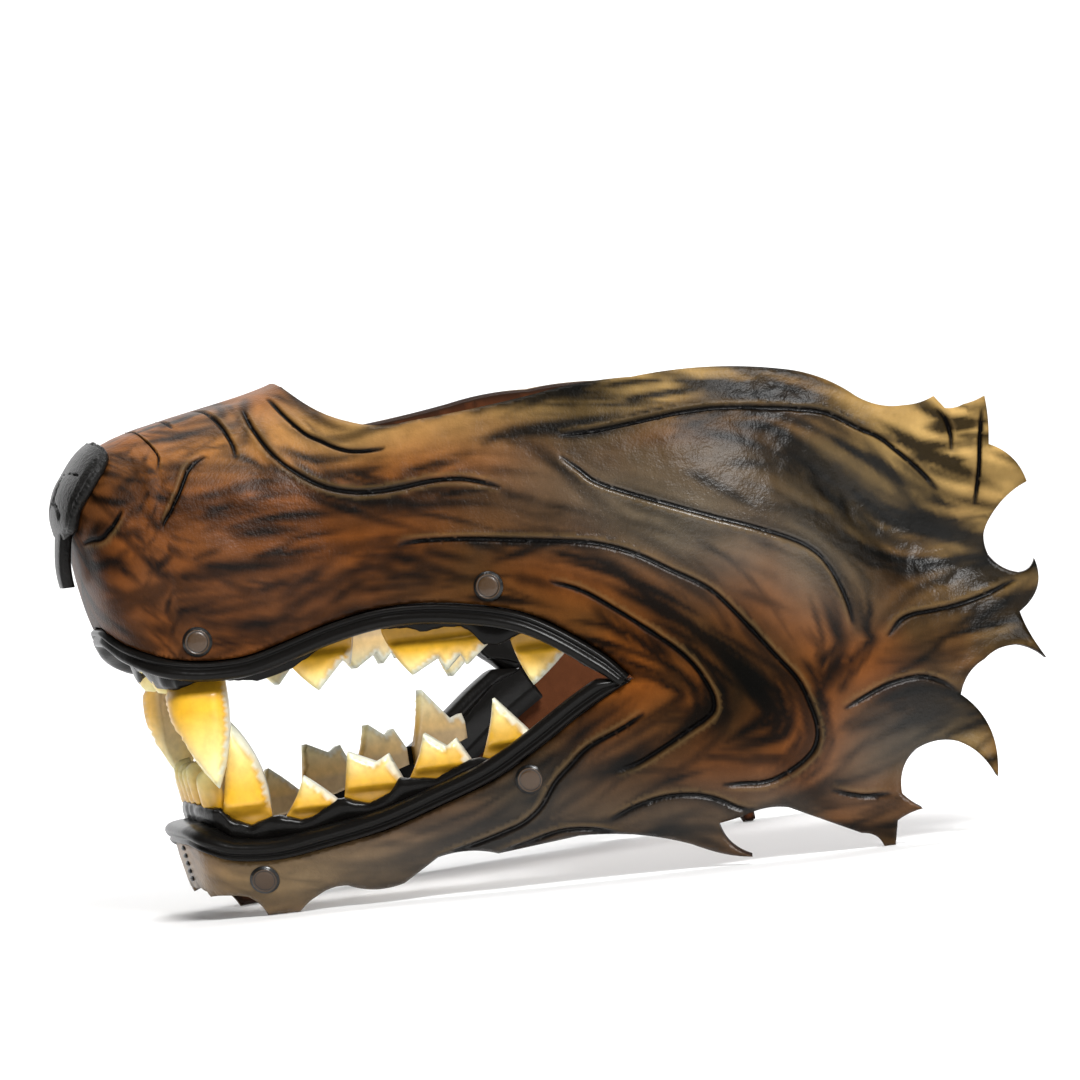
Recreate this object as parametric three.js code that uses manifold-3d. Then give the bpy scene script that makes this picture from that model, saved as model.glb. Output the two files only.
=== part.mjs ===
// A moulded leather half mask: a snarling wolf's muzzle that covers a face from the bridge of the
// nose to the chin. The nose points along -Y, +Z is up and the mask is even about X = 0. It stands on
// the lowest tufts of the chin and of the cheeks, with the origin on the floor below its middle.
import * as THREE from 'three';
import { mergeVertices } from 'three/addons/utils/BufferGeometryUtils.js';
import Module from 'manifold-3d';

const wasm = await Module();
wasm.setup();

// Overall sizes of the moulded form, in millimetres
const maskLength = 222; // front of the nose to the rearmost fur tip
const maskHeight = 127; // floor to the bridge of the nose
const halfBreadth = 79; // middle plane to the widest part of a cheek

// Leather thicknesses and clearances
const shellLeather = 3;
const lipLeather = 1;
const gumLeather = 1.1;
const toothThickness = 2.5;
const padLeather = 2.5;
const seatGap = 0.3; // between pieces that touch
const padGap = 0.55; // between the nose pad and the shell
const layerGap = 0.46; // between layers that follow the same curve

// Lips, gums and teeth
const lipReach = 5; // how far a lip band stands into the mouth
const lipProud = 1.2; // how far its roll stands off the shell
const lipTongue = 8.4; // how far it runs back behind the shell
const gumTongue = 8.4;
const tongueEase = 0.95; // how much further in the free ends of the tongues lie
const gumReach = 14; // widest stretch of gum past the shell's edge
const gumScallop = 2; // depth of the gum's dip at each side tooth
const rootLength = 4.2; // part of a side tooth behind the gum
const incisorLength = 17; // root to tip
const incisorFill = 0.82; // width of a front tooth as a share of its place in the row

// Rivets
const rivetSetback = 4.6; // from the shell's mouth edge to the rivet's middle
const rivetCapRadius = 3.1;
const rivetCapHeight = 1.2;
const rivetCapSlope = 0.5; // how much narrower the cap is at its face
const rivetShankRadius = 1.5;
const rivetWasherRadius = 2.5;
const rivetWasherHeight = 0.9;
const washerGap = 1.9; // clear of the hollow side of the gum

// Septum tab that hangs from the nose pad
const tabLength = 20;
const tabRoot = 3; // part of its length that is joined to the pad
const tabTopWidth = 12;
const tabEndWidth = 8;
const tabLeather = 3;

// Fineness of the meshes
const loftStations = 30;
const loftSteps = 17; // from the top of a section to its bottom
const longestBandStep = 11; // between two sections of a lip or gum
const sharpestBandTurn = 0.23; // between two sections of a lip or gum, in radians
const mostArcSteps = 3; // along one stretch of a cut edge
const arcRise = 0.8; // rise of a stretch that earns one more step
const roundSides = 8;

// Layers below the outer surface of the shell, as depths of their front faces
const lipDepth = shellLeather + layerGap;
const gumDepth = lipDepth + lipLeather + layerGap;
const toothDepth = gumDepth + gumLeather + layerGap;
const washerDepth = gumDepth + gumLeather + washerGap;

// Colours from the photograph
const finishes = {
  shell: { color: 0x4a2c18, roughness: 0.45, metalness: 0 },
  black: { color: 0x14110f, roughness: 0.35, metalness: 0 },
  tooth: { color: 0xd9b458, roughness: 0.5, metalness: 0 },
  rivet: { color: 0x2a1b12, roughness: 0.4, metalness: 0.3 },
};

function table(columns, rows) {
  return rows.map((row) => Object.fromEntries(columns.map((column, index) => [column, row[index]])));
}

// Cross sections of the moulded form. Along is a share of the length, breadth of the half breadth,
// and top, middle and bottom are shares of the height.
const noseFront = (padLeather + padGap) / maskLength;
const noseRounding = 0.03; // length over which the front closes, as a share
const noseFullness = 2.6;
const sections = table(
  ['along', 'breadth', 'top', 'middle', 'bottom', 'topFullness', 'bottomFullness'],
  [
    [noseFront, 0.21, 0.86, 0.8, 0.775, 2.4, 2.2],
    [0.02, 0.24, 0.88, 0.79, 0.74, 2.4, 2.2],
    [0.0245, 0.255, 0.887, 0.77, 0.66, 2.5, 2.2],
    [0.034, 0.285, 0.904, 0.73, 0.58, 2.6, 2.3],
    [0.05, 0.315, 0.922, 0.69, 0.51, 2.7, 2.4],
    [0.075, 0.34, 0.935, 0.64, 0.37, 2.7, 2.5],
    [0.095, 0.355, 0.942, 0.61, 0.2, 2.7, 2.8],
    [0.11, 0.366, 0.947, 0.59, 0.05, 2.7, 2.9],
    [0.15, 0.395, 0.96, 0.56, -0.06, 2.7, 2.7],
    [0.26, 0.485, 1.0, 0.52, -0.13, 2.5, 2.6],
    [0.34, 0.59, 1.08, 0.51, -0.18, 2.3, 2.5],
    [0.45, 0.73, 1.2, 0.49, -0.24, 2.2, 2.4],
    [0.58, 0.86, 1.3, 0.46, -0.32, 2.2, 2.3],
    [0.72, 0.95, 1.38, 0.43, -0.4, 2.2, 2.3],
    [0.86, 0.985, 1.42, 0.41, -0.47, 2.2, 2.3],
    [1.0, 1.0, 1.44, 0.4, -0.52, 2.2, 2.3],
  ],
);

// Swellings and dents of the cheeks: long and wide are shares of the length, lift is in millimetres
const cheekBulge = 5;
const cheekHollow = 8;
const moulding = table(
  ['along', 'up', 'tilt', 'long', 'wide', 'lift'],
  [
    [0.68, 0.7, -20, 0.16, 0.12, cheekBulge],
    [0.85, 0.6, -42, 0.15, 0.055, -cheekHollow],
  ],
);

// The shell's cut edge seen from the side, clockwise from the bridge of the nose. Bow is the bulge
// of the stretch that leads to the row's place, as a share of its length, outwards when positive.
const bridgePeak = { along: 0.259, up: 1.0 };
const shellEdge = table(
  ['along', 'up', 'bow'],
  [
    [0.312, 0.912, -0.1],
    [0.37, 0.898, -0.08],
    [0.5, 0.92, -0.01],
    [0.6, 0.93, 0.03],
    [0.755, 0.911, 0.04],
    [0.83, 0.843, 0.07],
    [0.88, 0.815, -0.09],
    [0.914, 0.825, -0.06],
    [0.924, 0.8, 0],
    [0.944, 0.802, -0.08],
    [0.967, 0.811, -0.04],
    [0.965, 0.723, 0.04],
    [1.0, 0.645, 0.13],
    [0.955, 0.585, -0.08],
    [0.95, 0.515, -0.14],
    [0.979, 0.478, -0.1],
    [0.996, 0.502, -0.2],
    [0.976, 0.405, 0.2],
    [0.992, 0.314, -0.03],
    [0.967, 0.345, -0.08],
    [0.93, 0.326, -0.1],
    [0.899, 0.266, -0.12],
    [0.926, 0.112, 0.16],
    [0.89, 0.18, -0.1],
    [0.845, 0.175, -0.1],
    [0.824, 0.1, -0.14],
    [0.842, 0.075, -0.06],
    [0.818, 0.05, -0.05],
    [0.8155, -0.012, 0],
    [0.805, -0.012, 0],
    [0.78, 0.03, -0.2],
    [0.704, 0.096, 0],
    [0.657, 0.092, -0.08],
    [0.631, 0.082, 0],
    [0.664, 0.026, -0.16],
    [0.603, 0.047, 0.08],
    [0.488, 0.088, -0.05],
    [0.406, 0.071, 0],
    [0.345, 0.076, -0.08],
    [0.31, 0.033, 0],
    [0.253, 0.04, 0.1],
    [0.22, 0.026, -0.1],
    [0.2, -0.008, -0.08],
    [0.17, -0.008, 0],
    [0.148, 0.04, -0.1],
    [0.114, 0.046, -0.04],
    [0.105, 0.067, -0.05],
  ],
);

// The shell's edge round the mouth, from the front of the muzzle and of the chin to the corner
const mouthCorner = { along: 0.557, up: 0.372 };
const mouthEdges = {
  upper: table(
    ['along', 'up'],
    [
      [0.02, 0.64],
      [0.041, 0.561],
      [0.07, 0.523],
      [0.109, 0.501],
      [0.148, 0.495],
      [0.185, 0.502],
      [0.265, 0.542],
      [0.325, 0.558],
      [0.392, 0.548],
      [0.459, 0.514],
      [0.523, 0.436],
      [mouthCorner.along, mouthCorner.up],
    ],
  ),
  lower: table(
    ['along', 'up'],
    [
      [0.094, 0.187],
      [0.1, 0.15],
      [0.116, 0.128],
      [0.138, 0.112],
      [0.182, 0.105],
      [0.233, 0.117],
      [0.295, 0.138],
      [0.352, 0.173],
      [0.407, 0.211],
      [0.455, 0.262],
      [0.505, 0.321],
      [mouthCorner.along, mouthCorner.up],
    ],
  ),
};

// Side teeth seen from the side: the two ends of the gum line, the point, and for some a notch and a
// smaller cusp behind it. Bows are bulges of the front and rear edges, and lean is how far the point
// stands outwards, in millimetres.
const sideTeeth = table(
  [
    'jaw', 'name', 'frontAlong', 'frontUp', 'rearAlong', 'rearUp', 'tipAlong', 'tipUp',
    'frontBow', 'rearBow', 'lean', 'cusps',
  ],
  [
    ['upper', 'canine', 0.1, 0.45, 0.152, 0.455, 0.129, 0.254, 0.1, 0.07, 4.2, []],
    ['upper', 'premolar', 0.22, 0.467, 0.286, 0.507, 0.246, 0.414, 0.03, 0.02, 0.4, [
      [0.274, 0.466], [0.28, 0.455]]],
    ['upper', 'carnassial', 0.317, 0.508, 0.419, 0.464, 0.342, 0.423, 0.05, 0, 0.4, [
      [0.37, 0.45], [0.376, 0.425], [0.392, 0.452], [0.397, 0.431]]],
    ['upper', 'molar', 0.444, 0.47, 0.497, 0.434, 0.462, 0.379, 0.04, 0.02, 0, []],
    ['lower', 'canine', 0.134, 0.212, 0.184, 0.186, 0.147, 0.38, -0.04, 0.1, -1.3, []],
    ['lower', 'first_premolar', 0.198, 0.181, 0.253, 0.202, 0.22, 0.255, -0.04, 0.02, 0, []],
    ['lower', 'second_premolar', 0.261, 0.204, 0.32, 0.229, 0.268, 0.291, 0, 0, 0, [
      [0.295, 0.266], [0.308, 0.279]]],
    ['lower', 'third_premolar', 0.328, 0.227, 0.39, 0.251, 0.346, 0.31, -0.04, 0, 0, [
      [0.367, 0.281], [0.377, 0.294]]],
    ['lower', 'molar', 0.403, 0.251, 0.468, 0.285, 0.419, 0.362, -0.03, 0, 0, [
      [0.451, 0.294], [0.465, 0.303]]],
  ],
);

// Small front teeth: place is the distance of each along the shell's edge from the middle plane, as
// a share of the distance between the middle plane and the canine's gum line
const incisors = table(
  ['jaw', 'name', 'place', 'size'],
  [
    ['upper', 'first_incisor', 0.18, 0.8],
    ['upper', 'second_incisor', 0.5, 0.86],
    ['upper', 'third_incisor', 0.82, 0.92],
    ['lower', 'first_incisor', 0.16, 1.04],
    ['lower', 'second_incisor', 0.45, 1.08],
    ['lower', 'third_incisor', 0.74, 1.0],
  ],
);

// The gum's visible edge outside the side teeth: in front of the canine and behind the last tooth
const gumEnds = {
  upper: { front: [[0.0, 0.56], [0.045, 0.508], [0.072, 0.466]], rear: [[0.514, 0.405]] },
  lower: { front: [[0.06, 0.25], [0.094, 0.247], [0.112, 0.228]], rear: [[0.515, 0.347]] },
};
const gumMeet = { along: 0.531, up: 0.378 };

// Rivets through the shell, lip and gum, by their places along the mask
const rivets = table(
  ['jaw', 'name', 'along'],
  [
    ['upper', 'upper_front', 0.12],
    ['upper', 'upper_rear', 0.419],
    ['lower', 'lower_front', 0.166],
    ['lower', 'lower_rear', 0.433],
  ],
);

// The nose pad's edge seen from the side, from its top to the septum
const padEdge = [[0.067, 0.941], [0.07, 0.893], [0.057, 0.855], [0.037, 0.806], [0.02, 0.775]];
const nostril = { across: 0.3, up: 0.825, wide: 0.3, high: 0.055, tilt: 28 };
const nostrilDepth = 6 * padLeather;

// Monotone cubic curve through values at rising places
function smoothCurve(places, values) {
  const count = places.length;
  const steps = [];
  for (let i = 0; i < count - 1; i += 1) {
    const width = places[i + 1] - places[i];
    steps.push({ width, slope: (values[i + 1] - values[i]) / width });
  }
  const slopes = values.map((value, i) => {
    if (i === 0) return steps[0].slope;
    if (i === count - 1) return steps[count - 2].slope;
    const before = steps[i - 1];
    const after = steps[i];
    if (before.slope * after.slope <= 0) return 0;
    const heavy = 2 * after.width + before.width;
    const light = after.width + 2 * before.width;
    return (heavy + light) / (heavy / before.slope + light / after.slope);
  });
  return (place) => {
    const x = THREE.MathUtils.clamp(place, places[0], places[count - 1]);
    let i = 0;
    while (i < count - 2 && places[i + 1] < x) i += 1;
    const { width } = steps[i];
    const t = (x - places[i]) / width;
    const back = 1 - t;
    return (
      values[i] * (1 + 2 * t) * back * back + width * slopes[i] * t * back * back
      + values[i + 1] * t * t * (3 - 2 * t) - width * slopes[i + 1] * t * t * back
    );
  };
}

const sectionPlaces = sections.map((section) => section.along);
const sectionCurves = {};
for (const name of ['breadth', 'top', 'middle', 'bottom', 'topFullness', 'bottomFullness']) {
  sectionCurves[name] = smoothCurve(sectionPlaces, sections.map((section) => section[name]));
}

// Half breadth, heights and fullness of the section at one place along the mask, in millimetres
function sectionAt(y) {
  const along = y / maskLength + 0.5;
  const closing = THREE.MathUtils.clamp((along - noseFront) / noseRounding, 0, 1);
  const opened = (1 - (1 - closing) ** noseFullness) ** (1 / noseFullness);
  const middle = sectionCurves.middle(along) * maskHeight;
  return {
    half: sectionCurves.breadth(along) * halfBreadth * opened,
    middle,
    rise: (sectionCurves.top(along) * maskHeight - middle) * opened,
    drop: (middle - sectionCurves.bottom(along) * maskHeight) * opened,
    topFullness: sectionCurves.topFullness(along),
    bottomFullness: sectionCurves.bottomFullness(along),
  };
}

function mouldingLift(y, z) {
  let lift = 0;
  for (const form of moulding) {
    const turn = THREE.MathUtils.degToRad(form.tilt);
    const back = y - (form.along - 0.5) * maskLength;
    const up = z - form.up * maskHeight;
    const lengthwise = (back * Math.cos(turn) + up * Math.sin(turn)) / (form.long * maskLength);
    const crosswise = (up * Math.cos(turn) - back * Math.sin(turn)) / (form.wide * maskLength);
    lift += form.lift * Math.exp(-(lengthwise ** 2) - crosswise ** 2);
  }
  return lift;
}

// Half breadth of the outer surface at a place seen from the side
function outerX(y, z) {
  const section = sectionAt(y);
  const above = z > section.middle;
  const reach = above ? section.rise : section.drop;
  const fullness = above ? section.topFullness : section.bottomFullness;
  if (reach <= 0) return 0;
  const share = Math.min(Math.abs(z - section.middle) / reach, 1);
  const round = (1 - share ** fullness) ** (1 / fullness);
  return section.half * round + mouldingLift(y, z) * Math.sqrt(1 - share ** fullness);
}

// Zero on the outer surface, negative inside it
function surfaceError(point) {
  const section = sectionAt(point.y);
  const above = point.z > section.middle;
  const reach = Math.max(above ? section.rise : section.drop, 0.01);
  const fullness = above ? section.topFullness : section.bottomFullness;
  const share = Math.abs(point.z - section.middle) / reach;
  const hold = Math.sqrt(Math.max(1 - share ** fullness, 0));
  const across = Math.max(Math.abs(point.x) - mouldingLift(point.y, point.z) * hold, 0);
  const width = Math.max(section.half, 0.01);
  return ((across / width) ** fullness + share ** fullness) ** (1 / fullness) - 1;
}

const probe = 0.05;
function surfaceGradient(point) {
  const slope = (axis) => {
    const ahead = point.clone();
    const behind = point.clone();
    ahead[axis] += probe;
    behind[axis] -= probe;
    return (surfaceError(ahead) - surfaceError(behind)) / (2 * probe);
  };
  return new THREE.Vector3(slope('x'), slope('y'), slope('z'));
}

function surfaceNormal(point) {
  return surfaceGradient(point).normalize();
}

const projectRounds = 12;
const longestPull = 3;
function ontoSurface(point) {
  const found = point.clone();
  for (let round = 0; round < projectRounds; round += 1) {
    const gradient = surfaceGradient(found);
    const pull = gradient.multiplyScalar(-surfaceError(found) / Math.max(gradient.lengthSq(), 1e-9));
    found.add(pull.clampLength(0, longestPull));
  }
  return found;
}

// A point at a depth below the outer surface, straight in from its place on that surface
function below(point, depth) {
  return point.clone().addScaledVector(surfaceNormal(point), -depth);
}

// The place on the outer surface, on the +X half, over the point of a deeper layer that is seen at
// one place from the side
const seenRounds = 40;
const seenPull = 0.3;
function overLayer(along, up, depth) {
  const y = (along - 0.5) * maskLength;
  const z = up * maskHeight;
  const over = new THREE.Vector3(outerX(y, z), y, z);
  for (let round = 0; round < seenRounds; round += 1) {
    const normal = surfaceNormal(over);
    over.y = THREE.MathUtils.lerp(over.y, y + depth * normal.y, seenPull);
    over.z = THREE.MathUtils.lerp(over.z, z + depth * normal.z, seenPull);
    over.x = outerX(over.y, over.z);
  }
  return over;
}

function toManifold(geometry) {
  const bare = new THREE.BufferGeometry();
  bare.setAttribute('position', geometry.getAttribute('position'));
  bare.setIndex(geometry.getIndex());
  const merged = mergeVertices(bare, 1e-4);
  const vertProperties = new Float32Array(merged.getAttribute('position').array);
  const corners = merged.getIndex().array;
  const triVerts = [];
  for (let i = 0; i < corners.length; i += 3) {
    const [a, b, c] = [corners[i], corners[i + 1], corners[i + 2]];
    if (a !== b && b !== c && c !== a) triVerts.push(a, b, c);
  }
  const mesh = new wasm.Mesh({ numProp: 3, vertProperties, triVerts: new Uint32Array(triVerts) });
  return new wasm.Manifold(mesh);
}

function toGeometry(solid) {
  const mesh = solid.getMesh();
  const geometry = new THREE.BufferGeometry();
  geometry.setAttribute('position', new THREE.Float32BufferAttribute(mesh.vertProperties, 3));
  geometry.setIndex(Array.from(mesh.triVerts));
  geometry.computeVertexNormals();
  return geometry;
}

function solidFrom(points, corners) {
  const geometry = new THREE.BufferGeometry().setFromPoints(points);
  geometry.setIndex(corners);
  return toManifold(geometry);
}

// Closed rings of equal length joined one after another, with a point or a flat face at each end
function skin(rings, closedFront, closedRear) {
  const points = [closedFront, ...rings.flat(), closedRear];
  const size = rings[0].length;
  const at = (ring, step) => 1 + ring * size + (step % size);
  const corners = [];
  for (let step = 0; step < size; step += 1) {
    corners.push(0, at(0, step + 1), at(0, step));
    corners.push(points.length - 1, at(rings.length - 1, step), at(rings.length - 1, step + 1));
    for (let ring = 0; ring < rings.length - 1; ring += 1) {
      corners.push(at(ring, step), at(ring + 1, step + 1), at(ring + 1, step));
      corners.push(at(ring, step), at(ring, step + 1), at(ring + 1, step + 1));
    }
  }
  return solidFrom(points, corners);
}

// Places of the rings along the mask, closer together near the front and where the chin drops away
const fineSteps = 600;
const rearSpacing = 2.4;
const dropWeight = 0.75;
function ringPlaces(rearAlong, stations) {
  const lengths = [0];
  const alongAt = (i) => noseFront + ((rearAlong - noseFront) * i) / fineSteps;
  const sizesAt = (i) => sectionAt((Math.min(alongAt(i), 1) - 0.5) * maskLength);
  for (let i = 1; i <= fineSteps; i += 1) {
    const before = sizesAt(i - 1);
    const after = sizesAt(i);
    const onward = ((rearAlong - noseFront) * maskLength) / fineSteps;
    const fall = dropWeight * (after.drop - after.middle - before.drop + before.middle);
    const step = Math.hypot(onward, fall, after.half - before.half);
    lengths.push(lengths[i - 1] + step / (1 + rearSpacing * alongAt(i)));
  }
  const places = [];
  for (let station = 1; station <= stations; station += 1) {
    const wanted = (lengths[fineSteps] * station) / stations;
    const i = Math.max(lengths.findIndex((length) => length >= wanted - 1e-9), 1);
    const share = (wanted - lengths[i - 1]) / (lengths[i] - lengths[i - 1]);
    places.push(alongAt(i - 1 + Math.min(share, 1)));
  }
  return places;
}

// Turn from the top of a section to one height, zero above its top and half a turn below its bottom
function turnAt(section, z) {
  const above = z > section.middle;
  const reach = Math.max(above ? section.rise : section.drop, 0.01);
  const fullness = above ? section.topFullness : section.bottomFullness;
  const share = Math.min(Math.abs(z - section.middle) / reach, 1);
  return Math.acos((above ? 1 : -1) * share ** (fullness / 2));
}

// The moulded form as a closed body, grown or shrunk by an offset. Its rings are crowded between the
// heights where the mask has leather.
const leatherTop = 1.03;
const leatherBottom = -0.03;
function mouldedForm(offset, rearAlong, stations, steps) {
  const rings = [];
  for (const along of ringPlaces(rearAlong, stations)) {
    const y = (Math.min(along, 1) - 0.5) * maskLength;
    const section = sectionAt(y);
    const ring = [];
    const firstTurn = Math.max(turnAt(section, leatherTop * maskHeight), Math.PI / (2 * steps));
    const lastTurn = Math.min(turnAt(section, leatherBottom * maskHeight), Math.PI - Math.PI / (2 * steps));
    for (let j = 0; j < 2 * steps; j += 1) {
      const step = Math.min(j, 2 * steps - j);
      const inside = firstTurn + ((lastTurn - firstTurn) * (step - 1)) / (steps - 2);
      const cosine = step === 0 ? 1 : step === steps ? -1 : Math.cos(inside);
      const above = cosine > 0;
      const fullness = above ? section.topFullness : section.bottomFullness;
      const reach = above ? section.rise : section.drop;
      const z = section.middle + Math.sign(cosine) * reach * Math.abs(cosine) ** (2 / fullness);
      const middlePlane = j === 0 || j === steps;
      const x = middlePlane ? 0 : outerX(y, z) * (j < steps ? 1 : -1);
      const outer = new THREE.Vector3(x, y, z);
      const shifted = below(outer, -offset);
      if (middlePlane) shifted.x = 0;
      shifted.y += (along - Math.min(along, 1)) * maskLength;
      ring.push(shifted);
    }
    rings.push(ring);
  }
  const frontSection = sectionAt((noseFront - 0.5) * maskLength);
  const front = new THREE.Vector3(0, (noseFront - 0.5) * maskLength - offset, frontSection.middle);
  const last = rings[rings.length - 1];
  const rear = new THREE.Vector3(0, last[0].y, maskHeight / 2);
  for (const point of last) point.y = rear.y;
  return skin(rings, front, rear);
}

// A body wider than the mask, cut to an outline seen from the side and given in shares
const cuttingWidth = 2.4 * halfBreadth;
const clearAhead = -0.1; // a place ahead of the nose
const clearAbove = 1.3; // a height above the bridge
function sidePrism(outline) {
  const shape = new THREE.Shape(
    outline.map(([along, up]) => new THREE.Vector2((along - 0.5) * maskLength, up * maskHeight)),
  );
  const geometry = new THREE.ExtrudeGeometry(shape, { depth: cuttingWidth, bevelEnabled: false });
  const axes = [new THREE.Vector3(0, 1, 0), new THREE.Vector3(0, 0, 1), new THREE.Vector3(1, 0, 0)];
  geometry.applyMatrix4(new THREE.Matrix4().makeBasis(...axes));
  geometry.translate(-cuttingWidth / 2, 0, 0);
  return toManifold(geometry);
}

// Points of a stretch that bows out to its left, without its first point. Bow is a share of its length.
function bowed(from, to, bow) {
  const start = new THREE.Vector2(from[0] * maskLength, from[1] * maskHeight);
  const end = new THREE.Vector2(to[0] * maskLength, to[1] * maskHeight);
  const along = end.clone().sub(start);
  const side = new THREE.Vector2(-along.y, along.x).multiplyScalar(2 * bow);
  const control = start.clone().add(end).multiplyScalar(0.5).add(side);
  const curve = new THREE.QuadraticBezierCurve(start, control, end);
  const count = Math.min(1 + Math.floor((Math.abs(bow) * along.length()) / arcRise), mostArcSteps);
  return curve.getPoints(count).slice(1).map((p) => [p.x / maskLength, p.y / maskHeight]);
}

function shellOutline() {
  const outline = [[clearAhead, clearAbove], [bridgePeak.along, clearAbove]];
  outline.push([bridgePeak.along, bridgePeak.up]);
  let last = outline[outline.length - 1];
  for (const row of shellEdge) {
    const next = [row.along, row.up];
    outline.push(...bowed(last, next, row.bow));
    last = next;
  }
  outline.push([clearAhead, last[1]]);
  return outline.reverse();
}

const mouthCurves = {};
for (const jaw of ['upper', 'lower']) {
  const points = mouthEdges[jaw].map((row) => new THREE.Vector2(row.along * maskLength, row.up * maskHeight));
  mouthCurves[jaw] = new THREE.SplineCurve(points);
}

// Height of the mouth's edge above a place along the mask, as a share
const heightSteps = 120;
function mouthHeight(jaw, along) {
  const points = mouthCurves[jaw].getPoints(heightSteps);
  for (let i = 1; i < points.length; i += 1) {
    const [before, after] = [points[i - 1], points[i]];
    if (after.x / maskLength >= along) {
      const t = (along * maskLength - before.x) / (after.x - before.x);
      return THREE.MathUtils.lerp(before.y, after.y, t) / maskHeight;
    }
  }
  return mouthCorner.up;
}

// The shell's mouth edge on the outer surface of the +X half, from the middle plane to the corner
const pathSteps = 500;
function mouthPath(jaw) {
  const found = [];
  for (const p of mouthCurves[jaw].getPoints(pathSteps)) {
    const y = p.x - maskLength / 2;
    const x = outerX(y, p.y);
    if (x <= 0) continue;
    if (found.length === 0) found.push(new THREE.Vector3(0, y, p.y));
    found.push(new THREE.Vector3(x, y, p.y));
  }
  return found;
}

// Stations on that path, each with its place, outward normal and the direction into the mouth
const stationSpread = 2; // each way along the path, to find its direction
function stationsOn(jaw) {
  const path = mouthPath(jaw);
  const lengths = [0];
  for (let i = 1; i < path.length; i += 1) lengths.push(lengths[i - 1] + path[i].distanceTo(path[i - 1]));
  const total = lengths[lengths.length - 1];
  const pointAt = (distance) => {
    const d = THREE.MathUtils.clamp(Math.abs(distance), 0, total);
    let i = 1;
    while (i < lengths.length - 1 && lengths[i] < d) i += 1;
    const t = (d - lengths[i - 1]) / Math.max(lengths[i] - lengths[i - 1], 1e-9);
    const point = path[i - 1].clone().lerp(path[i], t);
    if (distance < 0) point.x = -point.x;
    return point;
  };
  const stationAt = (distance) => {
    const place = pointAt(distance);
    const inner = THREE.MathUtils.clamp(distance, stationSpread - total, total - stationSpread);
    const along = pointAt(inner + stationSpread).sub(pointAt(inner - stationSpread)).normalize();
    const normal = surfaceNormal(place);
    const inward = new THREE.Vector3().crossVectors(along, normal).normalize();
    if (jaw === 'lower') inward.negate();
    return { place, normal, inward, distance };
  };
  const distanceTo = (along) => {
    const y = (along - 0.5) * maskLength;
    const index = path.findIndex((point) => point.y >= y);
    return lengths[index];
  };
  return { total, stationAt, distanceTo };
}

const mouth = { upper: stationsOn('upper'), lower: stationsOn('lower') };

// A point of a band: reach into the mouth along the surface, then depth below that surface
function bandPoint(station, reach, depth) {
  const onSurface = ontoSurface(station.place.clone().addScaledVector(station.inward, reach));
  return below(onSurface, depth);
}

// Room between one jaw's edge and the middle of the mouth's opening, in millimetres
const openFront = 0.11; // ahead of here the mouth is open to the front
function roomAt(station) {
  const along = station.place.y / maskLength + 0.5;
  if (along < openFront) return Infinity;
  const opening = (mouthHeight('upper', along) - mouthHeight('lower', along)) * maskHeight;
  return Math.max(opening / 2 - layerGap, 0);
}

// Distances of a band's sections from the middle plane, closer together where the band turns
const bandStride = 0.25; // fineness of the search along the band
function bandDistances(run, end) {
  const found = [0];
  let last = run.stationAt(0);
  for (let distance = bandStride; distance < end; distance += bandStride) {
    const station = run.stationAt(distance);
    const turn = Math.max(station.normal.angleTo(last.normal), station.inward.angleTo(last.inward));
    if (turn > sharpestBandTurn || distance - last.distance > longestBandStep) {
      found.push(distance);
      last = station;
    }
  }
  if (end - last.distance < longestBandStep / 3 && found.length > 1) found.pop();
  found.push(end);
  return [...found.slice(1).reverse().map((distance) => -distance), ...found];
}

// A band that runs round the mouth from one corner to the other. The profile is a list of reach and
// depth, and its reach into the mouth shrinks where the opening narrows.
const narrowestReach = 0.9;
function mouthBand(jaw, profile, widest, narrowest, extra) {
  const run = mouth[jaw];
  let end = run.total;
  while (roomAt(run.stationAt(end)) < narrowest) end -= bandStride;
  const rings = [];
  for (const distance of bandDistances(run, end)) {
    const station = run.stationAt(distance);
    const room = Math.min(widest, roomAt(station) + extra);
    rings.push(profile.map(([reach, depth]) => {
      const held = reach > 0 ? (reach * room) / widest : reach;
      return bandPoint(station, held, depth);
    }));
  }
  const endShape = profile.map(([reach, depth]) => new THREE.Vector2(reach, depth));
  return bandSolid(rings, THREE.ShapeUtils.triangulateShape(endShape, []), jaw === 'upper');
}

function bandSolid(rings, endTriangles, turned) {
  const points = rings.flat();
  const size = rings[0].length;
  const at = (ring, step) => ring * size + (step % size);
  const corners = [];
  const add = (a, b, c) => (turned ? corners.push(a, c, b) : corners.push(a, b, c));
  for (let ring = 0; ring < rings.length - 1; ring += 1) {
    for (let step = 0; step < size; step += 1) {
      add(at(ring, step), at(ring + 1, step), at(ring + 1, step + 1));
      add(at(ring, step), at(ring + 1, step + 1), at(ring, step + 1));
    }
  }
  for (const [a, b, c] of endTriangles) {
    add(at(0, a), at(0, b), at(0, c));
    add(at(rings.length - 1, a), at(rings.length - 1, c), at(rings.length - 1, b));
  }
  return solidFrom(points, corners);
}

// Rivet places and axes, shared by the rivets and by the holes that they pass through
function rivetFrame(row, side) {
  const run = mouth[row.jaw];
  const station = run.stationAt(side * run.distanceTo(row.along));
  const place = ontoSurface(station.place.clone().addScaledVector(station.inward, -rivetSetback));
  const axis = surfaceNormal(place);
  const turn = new THREE.Quaternion().setFromUnitVectors(new THREE.Vector3(0, 0, 1), axis);
  return new THREE.Matrix4().compose(place, turn, new THREE.Vector3(1, 1, 1));
}

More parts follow.
